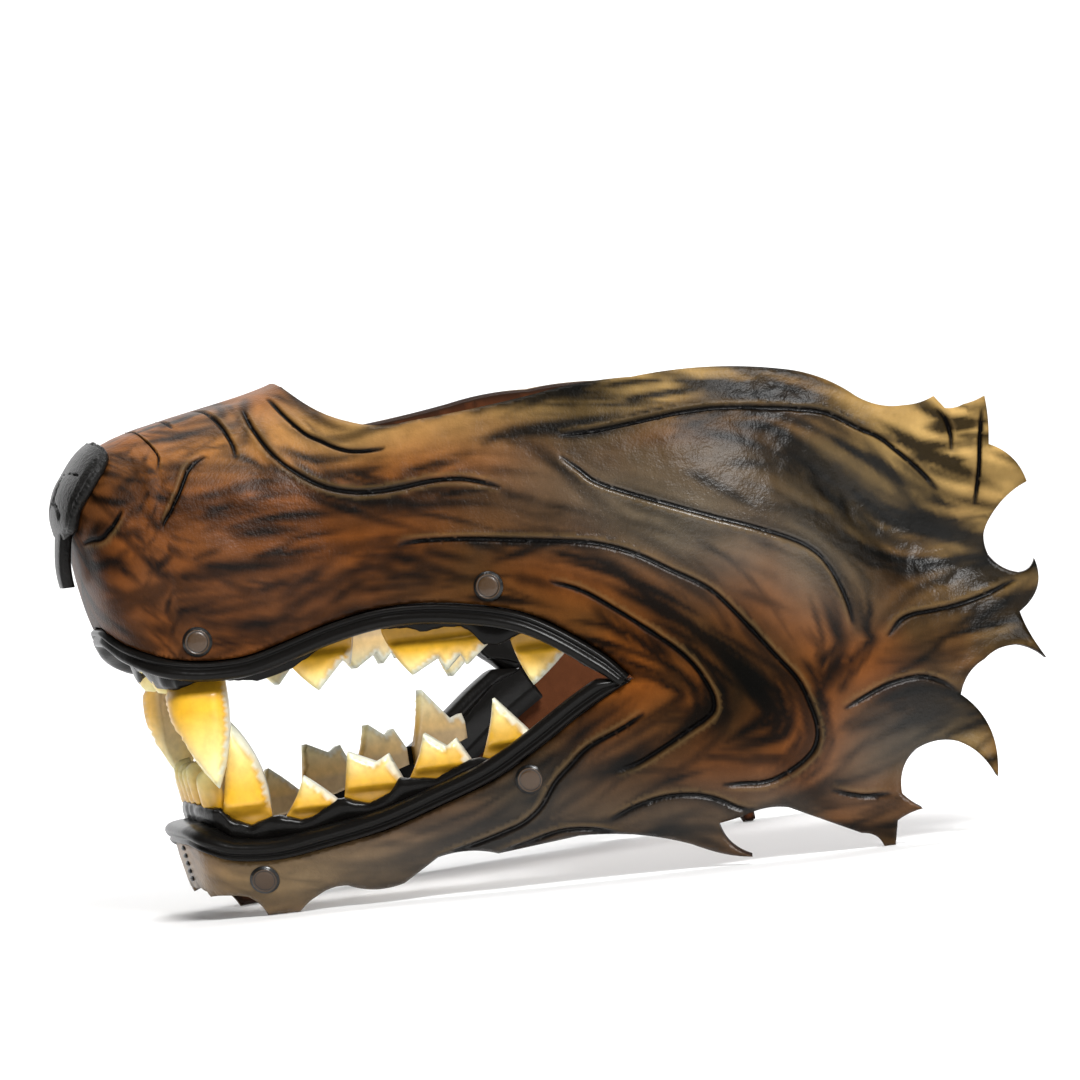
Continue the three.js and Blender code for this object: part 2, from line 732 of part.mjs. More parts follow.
function rivetHoles(jaw) {
  const holes = [];
  const radius = rivetShankRadius + seatGap;
  for (const row of rivets.filter((rivet) => rivet.jaw === jaw)) {
    for (const side of [1, -1]) {
      const hole = new THREE.CylinderGeometry(radius, radius, 2 * washerDepth, roundSides);
      hole.rotateX(Math.PI / 2);
      hole.applyMatrix4(rivetFrame(row, side));
      holes.push(toManifold(hole));
    }
  }
  return holes;
}

function cutAll(solid, cutters) {
  return cutters.reduce((left, cutter) => left.subtract(cutter), solid);
}

// The mouth is cut square to the moulded surface along both edges, and straight through between them
const cutterEnd = 0.35;
const cutterOverlap = 2;
const cutterReach = 19;
const cutterDepth = 1.6 * shellLeather;
const cutterMeeting = 0.002; // how far the two straight cuts run past their meeting line
function mouthCutters() {
  const cutters = [];
  for (const jaw of ['upper', 'lower']) {
    const half = cutterReach / 2;
    const profile = [
      [0, -cutterDepth],
      [half, -cutterDepth],
      [cutterReach, -cutterDepth],
      [cutterReach, cutterDepth],
      [half, cutterDepth],
      [0, cutterDepth],
    ];
    cutters.push(mouthBand(jaw, profile, cutterReach, cutterEnd, cutterOverlap));
    cutters.push(gumPrism(jaw, cutterMeeting));
  }
  return cutters;
}

const formRear = 1.02; // the outer form ends behind the rearmost tip, and the inner one behind that
const hollowRear = 1.06;
function makeShell() {
  const outer = mouldedForm(0, formRear, loftStations, loftSteps);
  const inner = mouldedForm(-shellLeather, hollowRear, loftStations, loftSteps);
  const walls = cutAll(outer.subtract(inner).intersect(sidePrism(shellOutline())), mouthCutters());
  const floorCut = new THREE.BoxGeometry(cuttingWidth, 2 * maskLength, maskHeight);
  floorCut.translate(0, 0, -maskHeight / 2);
  return cutAll(walls.subtract(toManifold(floorCut)), [...rivetHoles('upper'), ...rivetHoles('lower')]);
}

// A lip is a folded band: a roll with two ridges in front of the shell's edge and a tongue behind it
function makeLip(jaw) {
  const back = lipDepth + lipLeather;
  const profile = [
    [-lipTongue, lipDepth + tongueEase],
    [-lipTongue / 2, lipDepth + tongueEase / 2],
    [seatGap, lipDepth],
    [seatGap, -0.7 * lipProud],
    [0.3 * lipReach, -lipProud],
    [0.8 * lipReach, -lipProud],
    [lipReach, 0],
    [lipReach, back],
    [0, back],
    [-lipTongue / 2, back + tongueEase / 2],
    [-lipTongue, back + tongueEase],
  ];
  return cutAll(mouthBand(jaw, profile, lipReach, narrowestReach, 0), rivetHoles(jaw));
}

function gumOutline(jaw, past) {
  const up = jaw === 'upper' ? 1 : -1;
  const line = [...gumEnds[jaw].front];
  for (const tooth of sideTeeth.filter((row) => row.jaw === jaw)) {
    const front = [tooth.frontAlong, tooth.frontUp];
    const rear = [tooth.rearAlong, tooth.rearUp];
    const width = (tooth.rearAlong - tooth.frontAlong) * maskLength;
    line.push(front, ...bowed(front, rear, (up * gumScallop) / width));
  }
  line.push(...gumEnds[jaw].rear, [gumMeet.along, gumMeet.up]);
  const far = gumMeet.up - up * past;
  return [[clearAhead, far], [clearAhead, line[0][1]], ...line, [gumMeet.along, far]];
}

// The open part of the mouth on one jaw's side, as a body across the whole mask. It runs past the
// meeting line of the gums by a share of the height.
function gumPrism(jaw, past) {
  const outline = gumOutline(jaw, past);
  if (jaw === 'upper') outline.reverse();
  return sidePrism(outline);
}

// A gum is a flat band behind the lip, scalloped round the side teeth
const gumTrim = 0.1;
const gumFolds = [0, 0.37, 0.68, 1]; // places across the band where its section can bend
function makeGum(jaw) {
  const stretch = gumReach + gumTongue;
  const reaches = gumFolds.map((share) => share * stretch - gumTongue);
  const depthAt = (reach) => gumDepth + (tongueEase * Math.max(-reach, 0)) / gumTongue;
  const front = reaches.map((reach) => [reach, depthAt(reach)]);
  const back = reaches.reverse().map((reach) => [reach, depthAt(reach) + gumLeather]);
  const profile = [...front, ...back];
  const band = mouthBand(jaw, profile, gumReach, narrowestReach, 0);
  return cutAll(band.subtract(gumPrism(jaw, gumTrim)), rivetHoles(jaw));
}

// A tooth is a leather plate: its outline is set on two layers and joined round the edge
function plate(frontPoints, backPoints, triangles, turned) {
  const size = frontPoints.length;
  const corners = [];
  const add = (a, b, c) => (turned ? corners.push(a, c, b) : corners.push(a, b, c));
  for (const [a, b, c] of triangles) {
    add(a, b, c);
    add(size + a, size + c, size + b);
  }
  for (let i = 0; i < size; i += 1) {
    const next = (i + 1) % size;
    add(i, size + i, size + next);
    add(i, size + next, next);
  }
  return solidFrom([...frontPoints, ...backPoints], corners);
}

// The place on a tooth's gum line that a long tooth stands straight up or down from
function footOf(row, along) {
  const share = THREE.MathUtils.clamp((along - row.frontAlong) / (row.rearAlong - row.frontAlong), 0, 1);
  return [
    THREE.MathUtils.lerp(row.frontAlong, row.rearAlong, share),
    THREE.MathUtils.lerp(row.frontUp, row.rearUp, share),
  ];
}

const leanGrowth = 1.2;
function makeSideTooth(row, side) {
  const up = row.jaw === 'upper' ? 1 : -1;
  const front = [row.frontAlong, row.frontUp];
  const rear = [row.rearAlong, row.rearUp];
  const tip = [row.tipAlong, row.tipUp];
  const root = (up * rootLength) / maskHeight;
  const outline = [front, ...bowed(front, tip, -up * row.frontBow)];
  outline.push(...row.cusps);
  const last = outline[outline.length - 1];
  outline.push(...bowed(last, rear, -up * row.rearBow));
  outline.push([rear[0], rear[1] + root], [front[0], front[1] + root]);
  if (row.jaw === 'lower') outline.reverse();
  const baseUp = (row.frontUp + row.rearUp) / 2;
  const frontPoints = [];
  const backPoints = [];
  for (const [along, height] of outline) {
    const share = THREE.MathUtils.clamp((height - baseUp) / (row.tipUp - baseUp), 0, 1);
    const depth = toothDepth - row.lean * share ** leanGrowth;
    const held = row.name === 'canine' && share > 0;
    const foot = held ? footOf(row, along) : [along, height];
    const over = overLayer(...foot, depth);
    over.x *= side;
    const free = new THREE.Vector3(0, (along - foot[0]) * maskLength, (height - foot[1]) * maskHeight);
    frontPoints.push(below(over, depth).add(free));
    backPoints.push(below(over, depth + toothThickness).add(free));
  }
  const flat = outline.map(([along, height]) => new THREE.Vector2(along * maskLength, height * maskHeight));
  const triangles = THREE.ShapeUtils.triangulateShape(flat, []);
  return plate(frontPoints, backPoints, triangles, side < 0);
}

// A front tooth in its own frame: across is along the jaw, down runs from the root to the point
const incisorShape = [[-0.42, 0], [0.42, 0], [0.5, 0.5], [0.36, 0.82], [0.06, 1], [-0.3, 0.86], [-0.5, 0.5]];
const incisorStart = 0.6;
const canineClear = 4.2;
function makeIncisor(row, side) {
  const canine = sideTeeth.find((tooth) => tooth.jaw === row.jaw && tooth.name === 'canine');
  const run = mouth[row.jaw];
  const canineFoot = overLayer(canine.frontAlong, canine.frontUp, toothDepth);
  const rowLength = run.distanceTo(canineFoot.y / maskLength + 0.5) - canineClear;
  const middle = row.place * rowLength;
  const width = (incisorFill * rowLength) / (incisors.length / 2);
  const frontPoints = [];
  const backPoints = [];
  for (const [across, down] of incisorShape) {
    const station = run.stationAt(side * (middle + across * width));
    const reach = incisorStart + down * incisorLength * row.size;
    frontPoints.push(bandPoint(station, reach, toothDepth));
    backPoints.push(bandPoint(station, reach, toothDepth + toothThickness));
  }
  const flat = incisorShape.map(([across, down]) => new THREE.Vector2(across, down));
  const triangles = THREE.ShapeUtils.triangulateShape(flat, []);
  const turned = (row.jaw === 'upper') === (side > 0);
  return plate(frontPoints, backPoints, triangles, turned);
}

function makeRivet(row, side) {
  const under = seatGap;
  const washerTop = -washerDepth;
  const profile = [
    [0, washerTop - rivetWasherHeight],
    [rivetWasherRadius, washerTop - rivetWasherHeight],
    [rivetWasherRadius, washerTop],
    [rivetShankRadius, washerTop],
    [rivetShankRadius, under],
    [rivetCapRadius, under],
    [rivetCapRadius - rivetCapSlope, under + rivetCapHeight],
    [0, under + rivetCapHeight],
  ];
  const geometry = new THREE.LatheGeometry(profile.map(([r, h]) => new THREE.Vector2(r, h)), roundSides);
  geometry.rotateX(Math.PI / 2);
  geometry.applyMatrix4(rivetFrame(row, side));
  return toManifold(geometry);
}

// The nose pad is a second leather over the front of the muzzle, with its septum tab hanging free
const padRear = 0.11;
const padHollowRear = 0.13;
const padStations = 9;
const padSteps = 12;
function makeNosePad() {
  const outer = mouldedForm(padGap + padLeather, padRear, padStations, padSteps);
  const inner = mouldedForm(padGap, padHollowRear, padStations, padSteps);
  const [padTop, padFoot] = [padEdge[0], padEdge[padEdge.length - 1]];
  const outline = [[clearAhead, padFoot[1]], ...[...padEdge].reverse(), [padTop[0], clearAbove]];
  outline.push([clearAhead, clearAbove]);
  let pad = outer.subtract(inner).intersect(sidePrism(outline));
  pad = pad.add(makeTab(padFoot[1] * maskHeight).subtract(inner));
  const noseHalf = sectionCurves.breadth(noseFront + noseRounding) * halfBreadth;
  for (const side of [1, -1]) {
    const opening = new THREE.CylinderGeometry(1, 1, nostrilDepth, roundSides);
    opening.scale((nostril.wide * noseHalf) / 2, 1, (nostril.high * maskHeight) / 2);
    opening.rotateY(THREE.MathUtils.degToRad(side * nostril.tilt));
    const across = side * nostril.across * noseHalf;
    opening.translate(across, padLeather - maskLength / 2, nostril.up * maskHeight);
    pad = pad.subtract(toManifold(opening));
  }
  return pad;
}

// The tab's root is joined to the pad over a short length above the pad's lower edge
function makeTab(padFootHeight) {
  const tab = new THREE.Shape();
  tab.moveTo(-tabTopWidth / 2, tabRoot);
  tab.lineTo(-tabEndWidth / 2, tabRoot - tabLength);
  tab.lineTo(tabEndWidth / 2, tabRoot - tabLength);
  tab.lineTo(tabTopWidth / 2, tabRoot);
  const geometry = new THREE.ExtrudeGeometry(tab, { depth: tabLeather, bevelEnabled: false });
  geometry.rotateX(Math.PI / 2);
  geometry.translate(0, tabLeather - maskLength / 2, padFootHeight);
  return toManifold(geometry);
}

const mask = new THREE.Group();
function place(name, solid, finish) {
  const mesh = new THREE.Mesh(toGeometry(solid), new THREE.MeshStandardMaterial(finishes[finish]));
  mesh.name = name;
  mask.add(mesh);
}

place('mask_shell', makeShell(), 'shell');
place('nose_pad', makeNosePad(), 'black');
for (const jaw of ['upper', 'lower']) {
  place(`${jaw}_lip`, makeLip(jaw), 'black');
  place(`${jaw}_gum`, makeGum(jaw), 'black');
}
for (const [sideName, side] of [['left', 1], ['right', -1]]) {
  for (const row of sideTeeth) place(`${row.jaw}_${row.name}_${sideName}`, makeSideTooth(row, side), 'tooth');
  for (const row of incisors) place(`${row.jaw}_${row.name}_${sideName}`, makeIncisor(row, side), 'tooth');
  for (const row of rivets) place(`rivet_${row.name}_${sideName}`, makeRivet(row, side), 'rivet');
}

export default mask;
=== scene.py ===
import math
import bmesh
import bpy
import numpy as np
from mathutils import Matrix, Vector, geometry, kdtree


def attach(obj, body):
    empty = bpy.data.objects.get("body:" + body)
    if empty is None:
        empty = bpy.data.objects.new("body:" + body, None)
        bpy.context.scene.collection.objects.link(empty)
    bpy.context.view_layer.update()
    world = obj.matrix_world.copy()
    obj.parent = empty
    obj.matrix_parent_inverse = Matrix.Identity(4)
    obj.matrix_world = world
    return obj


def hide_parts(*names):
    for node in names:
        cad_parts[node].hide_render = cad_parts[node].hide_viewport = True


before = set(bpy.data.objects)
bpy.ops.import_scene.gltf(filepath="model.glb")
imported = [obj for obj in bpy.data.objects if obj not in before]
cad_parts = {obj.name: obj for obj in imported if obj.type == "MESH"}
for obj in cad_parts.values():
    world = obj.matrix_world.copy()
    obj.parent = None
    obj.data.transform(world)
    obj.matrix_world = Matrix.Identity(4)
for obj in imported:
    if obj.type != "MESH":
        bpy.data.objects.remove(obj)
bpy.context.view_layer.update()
scene = bpy.context.scene
scene.view_settings.view_transform = "Standard"


# Mask shell
# One thick piece of vegetable tanned leather, wetted and moulded over a form, with the fur's lines
# cut into its face. It is dyed brown, airbrushed black along the fur and varnished to a satin sheen.
# Its painted colours also carry painted sheen, painted light and painted shade in places.
LENGTH = 0.222
HEIGHT = 0.127
HALF_BREADTH = 0.079
SHELL_LEATHER = 0.003
PAD_LEATHER = 0.0025
PAD_GAP = 0.00055
MM = 0.001

nose_front = (PAD_LEATHER + PAD_GAP) / LENGTH
nose_rounding = 0.03
nose_fullness = 2.6
section_columns = ("along", "breadth", "top", "middle", "bottom", "top_fullness", "bottom_fullness")
section_rows = (
    (nose_front, 0.21, 0.86, 0.8, 0.775, 2.4, 2.2),
    (0.02, 0.24, 0.88, 0.79, 0.74, 2.4, 2.2),
    (0.0245, 0.255, 0.887, 0.77, 0.66, 2.5, 2.2),
    (0.034, 0.285, 0.904, 0.73, 0.58, 2.6, 2.3),
    (0.05, 0.315, 0.922, 0.69, 0.51, 2.7, 2.4),
    (0.075, 0.34, 0.935, 0.64, 0.37, 2.7, 2.5),
    (0.095, 0.355, 0.942, 0.61, 0.2, 2.7, 2.8),
    (0.11, 0.366, 0.947, 0.59, 0.05, 2.7, 2.9),
    (0.15, 0.395, 0.96, 0.56, -0.06, 2.7, 2.7),
    (0.26, 0.485, 1.0, 0.52, -0.13, 2.5, 2.6),
    (0.34, 0.59, 1.08, 0.51, -0.18, 2.3, 2.5),
    (0.45, 0.73, 1.2, 0.49, -0.24, 2.2, 2.4),
    (0.58, 0.86, 1.3, 0.46, -0.32, 2.2, 2.3),
    (0.72, 0.95, 1.38, 0.43, -0.4, 2.2, 2.3),
    (0.86, 0.985, 1.42, 0.41, -0.47, 2.2, 2.3),
    (1.0, 1.0, 1.44, 0.4, -0.52, 2.2, 2.3),
)
# Swellings and dents: place, tilt in degrees, spread as shares of the length, lift in metres
moulding_rows = (
    (0.68, 0.7, -20, 0.16, 0.12, 0.005),
    (0.85, 0.6, -42, 0.15, 0.055, -0.008),
)


def column(columns, rows, name):
    """One named column of a table."""
    return np.array([row[columns.index(name)] for row in rows], float)


def smooth_curve(places, values):
    """A monotone cubic through values at rising places, as a function of an array."""
    places, values = np.asarray(places, float), np.asarray(values, float)
    widths = np.diff(places)
    steps = np.diff(values) / widths
    heavy = 2 * widths[1:] + widths[:-1]
    light = widths[1:] + 2 * widths[:-1]
    same_way = steps[:-1] * steps[1:] > 0
    before = np.where(same_way, steps[:-1], 1)
    after = np.where(same_way, steps[1:], 1)
    inner = np.where(same_way, (heavy + light) / (heavy / before + light / after), 0)
    slopes = np.concatenate(([steps[0]], inner, [steps[-1]]))

    def curve(place):
        x = np.clip(place, places[0], places[-1])
        i = np.clip(np.searchsorted(places, x, "right") - 1, 0, len(places) - 2)
        t = (x - places[i]) / widths[i]
        back = 1 - t
        start = values[i] * (1 + 2 * t) * back**2 + widths[i] * slopes[i] * t * back**2
        end = values[i + 1] * t**2 * (3 - 2 * t) - widths[i] * slopes[i + 1] * t**2 * back
        return start + end

    return curve


section_places = column(section_columns, section_rows, "along")
section_curves = {
    name: smooth_curve(section_places, column(section_columns, section_rows, name))
    for name in section_columns[1:]
}


def section_at(y):
    """Half breadth, middle height, rise, drop and the two fullnesses of the sections at y."""
    along = y / LENGTH + 0.5
    closing = np.clip((along - nose_front) / nose_rounding, 0, 1)
    opened = (1 - (1 - closing) ** nose_fullness) ** (1 / nose_fullness)
    middle = section_curves["middle"](along) * HEIGHT
    half = section_curves["breadth"](along) * HALF_BREADTH * opened
    rise = (section_curves["top"](along) * HEIGHT - middle) * opened
    drop = (middle - section_curves["bottom"](along) * HEIGHT) * opened
    top_fullness = section_curves["top_fullness"](along)
    bottom_fullness = section_curves["bottom_fullness"](along)
    return half, middle, rise, drop, top_fullness, bottom_fullness


def tilted(back, above, tilt, long, wide):
    """Places behind and above a spot, along and across its tilt in degrees, as shares of its spread."""
    turn = math.radians(tilt)
    lengthwise = (back * math.cos(turn) + above * math.sin(turn)) / long
    crosswise = (above * math.cos(turn) - back * math.sin(turn)) / wide
    return lengthwise, crosswise


def moulding_lift(y, z):
    """How far the swellings lift the face at places seen from the side."""
    lift = np.zeros_like(y)
    for along, up, tilt, long, wide, height in moulding_rows:
        back, above = y - (along - 0.5) * LENGTH, z - up * HEIGHT
        lengthwise, crosswise = tilted(back, above, tilt, long * LENGTH, wide * LENGTH)
        lift = lift + height * np.exp(-(lengthwise**2) - crosswise**2)
    return lift


def in_section(y, z, least_reach):
    """Half breadth of the sections at y, whether z is above their middle, its share of the way from
    there to their top or bottom, and the fullness on that side."""
    half, middle, rise, drop, top_fullness, bottom_fullness = section_at(y)
    above = z > middle
    reach = np.maximum(np.where(above, rise, drop), least_reach)
    fullness = np.where(above, top_fullness, bottom_fullness)
    return half, above, np.abs(z - middle) / reach, fullness


# Least lengths that keep divisions safe where the nose closes
TINY = 1e-7
SMALL = 1e-5


def outer_x(y, z):
    """Half breadth of the outer surface at places seen from the side."""
    half, _, share, fullness = in_section(y, z, TINY)
    rest = 1 - np.clip(share, 0, 1) ** fullness
    return half * rest ** (1 / fullness) + moulding_lift(y, z) * np.sqrt(rest)


def surface_error(points):
    """Zero on the outer surface, negative inside it."""
    half, _, share, fullness = in_section(points[:, 1], points[:, 2], SMALL)
    hold = np.sqrt(np.clip(1 - share**fullness, 0, 1))
    across = np.maximum(np.abs(points[:, 0]) - moulding_lift(points[:, 1], points[:, 2]) * hold, 0)
    width = np.maximum(half, SMALL)
    return ((across / width) ** fullness + share**fullness) ** (1 / fullness) - 1


PROBE = 0.05 * MM


def surface_gradient(points):
    """Which way and how fast the surface error grows."""
    gradient = np.zeros_like(points)
    for axis in range(3):
        step = np.zeros(3)
        step[axis] = PROBE
        gradient[:, axis] = (surface_error(points + step) - surface_error(points - step)) / (2 * PROBE)
    return gradient


def surface_normal(points):
    """Unit directions straight out of the moulded face."""
    gradient = surface_gradient(points)
    return gradient / np.maximum(np.linalg.norm(gradient, axis=1, keepdims=True), 1e-9)


# The shell is drawn flat first: u runs back along the mask, with more room where the front falls
# away, and v is the way round each section from its widest place, upwards when positive
FLAT_SECTIONS = 500
FLAT_TURNS = 161
FLAT_END = 1.02
FLAT_CROWDING = 1.5
FALL_WEIGHT = 0.75
flat_along = nose_front + (FLAT_END - nose_front) * np.linspace(0, 1, FLAT_SECTIONS) ** FLAT_CROWDING
flat_half, flat_middle, _, flat_drop, _, _ = section_at((flat_along - 0.5) * LENGTH)
flat_steps = np.sqrt(
    (np.diff(flat_along) * LENGTH) ** 2
    + (FALL_WEIGHT * np.diff(flat_drop - flat_middle)) ** 2
    + np.diff(flat_half) ** 2
)
flat_u = np.concatenate(([0], np.cumsum(flat_steps)))
flat_turns = np.linspace(0, math.pi, FLAT_TURNS)


def place_on_section(y, turn):
    """Points of the +X half at turns from the top of their sections."""
    _, middle, rise, drop, top_fullness, bottom_fullness = section_at(y)
    cosine = np.cos(turn)
    above = cosine > 0
    reach = np.where(above, rise, drop)
    fullness = np.where(above, top_fullness, bottom_fullness)
    z = middle + np.sign(cosine) * reach * np.abs(cosine) ** (2 / fullness)
    x = np.where((turn < 1e-6) | (turn > math.pi - 1e-6), 0, outer_x(y, z))
    return np.stack([x, y, z], axis=-1)


grid_y, grid_turn = np.meshgrid((flat_along - 0.5) * LENGTH, flat_turns, indexing="ij")
grid_points = place_on_section(grid_y.ravel(), grid_turn.ravel()).reshape(FLAT_SECTIONS, FLAT_TURNS, 3)
grid_steps = np.linalg.norm(np.diff(grid_points, axis=1), axis=2)
grid_round = np.concatenate([np.zeros((FLAT_SECTIONS, 1)), np.cumsum(grid_steps, axis=1)], axis=1)
grid_v = grid_round[:, FLAT_TURNS // 2][:, None] - grid_round


def v_rows(along):
    """The table of v for sections between the ones of the grid."""
    place = np.interp(along, flat_along, np.arange(FLAT_SECTIONS))
    low = np.clip(place.astype(int), 0, FLAT_SECTIONS - 2)
    share = (place - low)[:, None]
    return grid_v[low] * (1 - share) + grid_v[low + 1] * share


def to_flat(places):
    """Flat places of points seen from the side, which are shares of length and height."""
    along, up = places.T
    _, above, share, fullness = in_section((along - 0.5) * LENGTH, up * HEIGHT, TINY)
    turn = np.arccos(np.where(above, 1, -1) * np.clip(share, 0, 1) ** (fullness / 2))
    rows = v_rows(along)
    place = turn / math.pi * (FLAT_TURNS - 1)
    low = np.clip(place.astype(int), 0, FLAT_TURNS - 2)
    part = place - low
    index = np.arange(len(along))
    v = rows[index, low] * (1 - part) + rows[index, low + 1] * part
    return np.stack([np.interp(along, flat_along, flat_u), v], axis=1)


def from_flat(flat):
    """Points on the outer surface from their flat places."""
    along = np.interp(flat[:, 0], flat_u, flat_along)
    rows = v_rows(along)
    low = np.clip((rows > flat[:, 1][:, None]).sum(axis=1) - 1, 0, FLAT_TURNS - 2)
    index = np.arange(len(along))
    first, second = rows[index, low], rows[index, low + 1]
    part = np.clip((first - flat[:, 1]) / np.maximum(first - second, 1e-9), 0, 1)
    turn = (low + part) / (FLAT_TURNS - 1) * math.pi
    return place_on_section((along - 0.5) * LENGTH, turn)


# Parts that each stretch of a curve is worked out in
SPLINE_PARTS = 24


def lengths_along(points):
    """How far each point of a line is from its first, along the line."""
    return np.concatenate(([0], np.cumsum(np.linalg.norm(np.diff(points, axis=0), axis=1))))


def spline(points, step):
    """A smooth curve through points, in even steps of about one length."""
    points = np.asarray(points, float)
    ends = (2 * points[0] - points[1], 2 * points[-1] - points[-2])
    padded = np.vstack([ends[0], points, ends[1]])
    found = []
    for i in range(len(points) - 1):
        p0, p1, p2, p3 = padded[i : i + 4]
        t = np.linspace(0, 1, SPLINE_PARTS, endpoint=False)[:, None]
        bend = 2 * p0 - 5 * p1 + 4 * p2 - p3
        twist = 3 * p1 - p0 - 3 * p2 + p3
        found.append(0.5 * (2 * p1 + (p2 - p0) * t + bend * t**2 + twist * t**3))
    found = np.vstack(found + [points[-1:]])
    lengths = lengths_along(found)
    count = max(int(round(lengths[-1] / step)), 2)
    even = np.linspace(0, lengths[-1], count + 1)
    return np.stack([np.interp(even, lengths, found[:, k]) for k in range(found.shape[1])], axis=1)


# The cut edge seen from the side, from the bridge of the nose round the rear to the chin. Bow is the
# bulge of the stretch that leads to a place, as a share of its length, outwards when positive.
bridge_peak = (0.259, 1.0)
edge_rows = (
    (0.312, 0.912, -0.1), (0.37, 0.898, -0.08), (0.5, 0.92, -0.01), (0.6, 0.93, 0.03),
    (0.755, 0.911, 0.04), (0.83, 0.843, 0.07), (0.88, 0.815, -0.09), (0.914, 0.825, -0.06),
    (0.924, 0.8, 0), (0.944, 0.802, -0.08), (0.967, 0.811, -0.04), (0.965, 0.723, 0.04),
    (1.0, 0.645, 0.13), (0.955, 0.585, -0.08), (0.95, 0.515, -0.14), (0.979, 0.478, -0.1),
    (0.996, 0.502, -0.2), (0.976, 0.405, 0.2), (0.992, 0.314, -0.03), (0.967, 0.345, -0.08),
    (0.93, 0.326, -0.1), (0.899, 0.266, -0.12), (0.926, 0.112, 0.16), (0.89, 0.18, -0.1),
    (0.845, 0.175, -0.1), (0.824, 0.1, -0.14), (0.842, 0.075, -0.06), (0.818, 0.05, -0.05),
    (0.8155, -0.012, 0), (0.805, -0.012, 0), (0.78, 0.03, -0.2), (0.704, 0.096, 0),
    (0.657, 0.092, -0.08), (0.631, 0.082, 0), (0.664, 0.026, -0.16), (0.603, 0.047, 0.08),
    (0.488, 0.088, -0.05), (0.406, 0.071, 0), (0.345, 0.076, -0.08), (0.31, 0.033, 0),
    (0.253, 0.04, 0.1), (0.22, 0.026, -0.1), (0.2, -0.008, -0.08), (0.17, -0.008, 0),
    (0.148, 0.04, -0.1), (0.114, 0.046, -0.04), (0.105, 0.067, -0.05),
)
mouth_corner = (0.557, 0.372)
mouth_edges = {
    "upper": (
        (0.02, 0.64), (0.041, 0.561), (0.07, 0.523), (0.109, 0.501), (0.148, 0.495), (0.185, 0.502),
        (0.265, 0.542), (0.325, 0.558), (0.392, 0.548), (0.459, 0.514), (0.523, 0.436), mouth_corner,
    ),
    "lower": (
        (0.094, 0.187), (0.1, 0.15), (0.116, 0.128), (0.138, 0.112), (0.182, 0.105), (0.233, 0.117),
        (0.295, 0.138), (0.352, 0.173), (0.407, 0.211), (0.455, 0.262), (0.505, 0.321), mouth_corner,
    ),
}
EDGE_STEP = 1.1 * MM
EDGE_CLEARANCE = 0.62 * EDGE_STEP
BODY_STEP = 0.95 * MM
INNER_STEP = 3.2 * MM


def bowed(start, end, bow, step):
    """Places of a stretch that bows out to its left, without its first one, in metres."""
    start, end = np.asarray(start), np.asarray(end)
    along = end - start
    control = (start + end) / 2 + 2 * bow * np.array([-along[1], along[0]])
    count = max(int(round(np.linalg.norm(along) * (1 + 2 * abs(bow)) / step)), 1)
    t = np.linspace(0, 1, count + 1)[1:, None]
    return (1 - t) ** 2 * start + 2 * t * (1 - t) * control + t**2 * end


def in_shares(places):
    """Places seen from the side, from metres to shares of length and height."""
    return np.asarray(places) / np.array([LENGTH, HEIGHT])


def in_metres(places):
    """Places seen from the side, from shares of length and height to metres."""
    return np.asarray(places) * np.array([LENGTH, HEIGHT])


def side_curve(rows, step):
    """A smooth curve through places seen from the side, in even steps."""
    return in_shares(spline(in_metres(rows), step))


def seen_from_side(points):
    """Places of points as shares of length and height."""
    return np.stack([points[:, 1] / LENGTH + 0.5, points[:, 2] / HEIGHT], axis=1)


def centre_line(top, first, last):
    """Flat places along the middle plane, over the top or down the front, between two shares."""
    ends = np.interp([first, last], flat_along, flat_u)
    count = max(int(round(abs(ends[1] - ends[0]) / EDGE_STEP)), 2)
    u = np.linspace(ends[0], ends[1], count + 1)
    rows = v_rows(np.interp(u, flat_u, flat_along))
    return np.stack([u, rows[:, 0 if top else -1]], axis=1)


# Nearer to the middle plane than this, a place counts as on it
ON_CENTRE = 0.2 * MM


def off_centre(curve):
    """Which places of a side view curve lie on the surface and away from the middle plane."""
    return outer_x((curve[:, 0] - 0.5) * LENGTH, curve[:, 1] * HEIGHT) > ON_CENTRE


def drop_to_centre(curve):
    """A side view curve from its first place off the middle plane on."""
    return curve[np.argmax(off_centre(curve)) :]


edge_places = [in_metres([bridge_peak])]
last_place = in_metres(bridge_peak)
for edge_along, edge_up, edge_bow in edge_rows:
    next_place = in_metres((edge_along, edge_up))
    edge_places.append(bowed(last_place, next_place, edge_bow, EDGE_STEP))
    last_place = next_place
edge_curve = in_shares(np.vstack(edge_places))[1:]
edge_curve[:, 1] = np.maximum(edge_curve[:, 1], 0)
beside = off_centre(edge_curve)
edge_curve = edge_curve[: len(beside) - np.argmax(beside[::-1])]
mouth_side = {jaw: drop_to_centre(side_curve(rows, EDGE_STEP)) for jaw, rows in mouth_edges.items()}


FRONT_PROFILE_END = 0.14


def centre_along(up):
    """Where the front profile passes a height, as a share of the length."""
    front = flat_along[flat_along < FRONT_PROFILE_END]
    return np.interp(-up, -section_curves["bottom"](front), front)


edge_flat = to_flat(edge_curve)
jaw_flat = {jaw: to_flat(curve) for jaw, curve in mouth_side.items()}
chin_foot = np.interp(edge_flat[-1][0], flat_u, flat_along)
chin_top = centre_along(mouth_side["lower"][0][1])
muzzle_foot = centre_along(mouth_side["upper"][0][1])
outline_parts = (
    (True, centre_line(True, nose_front, bridge_peak[0])),
    (False, edge_flat),
    (True, centre_line(False, chin_foot, chin_top)),
    (False, jaw_flat["lower"]),
    (False, jaw_flat["upper"][::-1][1:]),
    (True, centre_line(False, muzzle_foot, nose_front)[:-1]),
)
outline = np.vstack([part for _, part in outline_parts])
on_centre = np.concatenate([np.full(len(part), middle) for middle, part in outline_parts])
outline_count = len(outline)

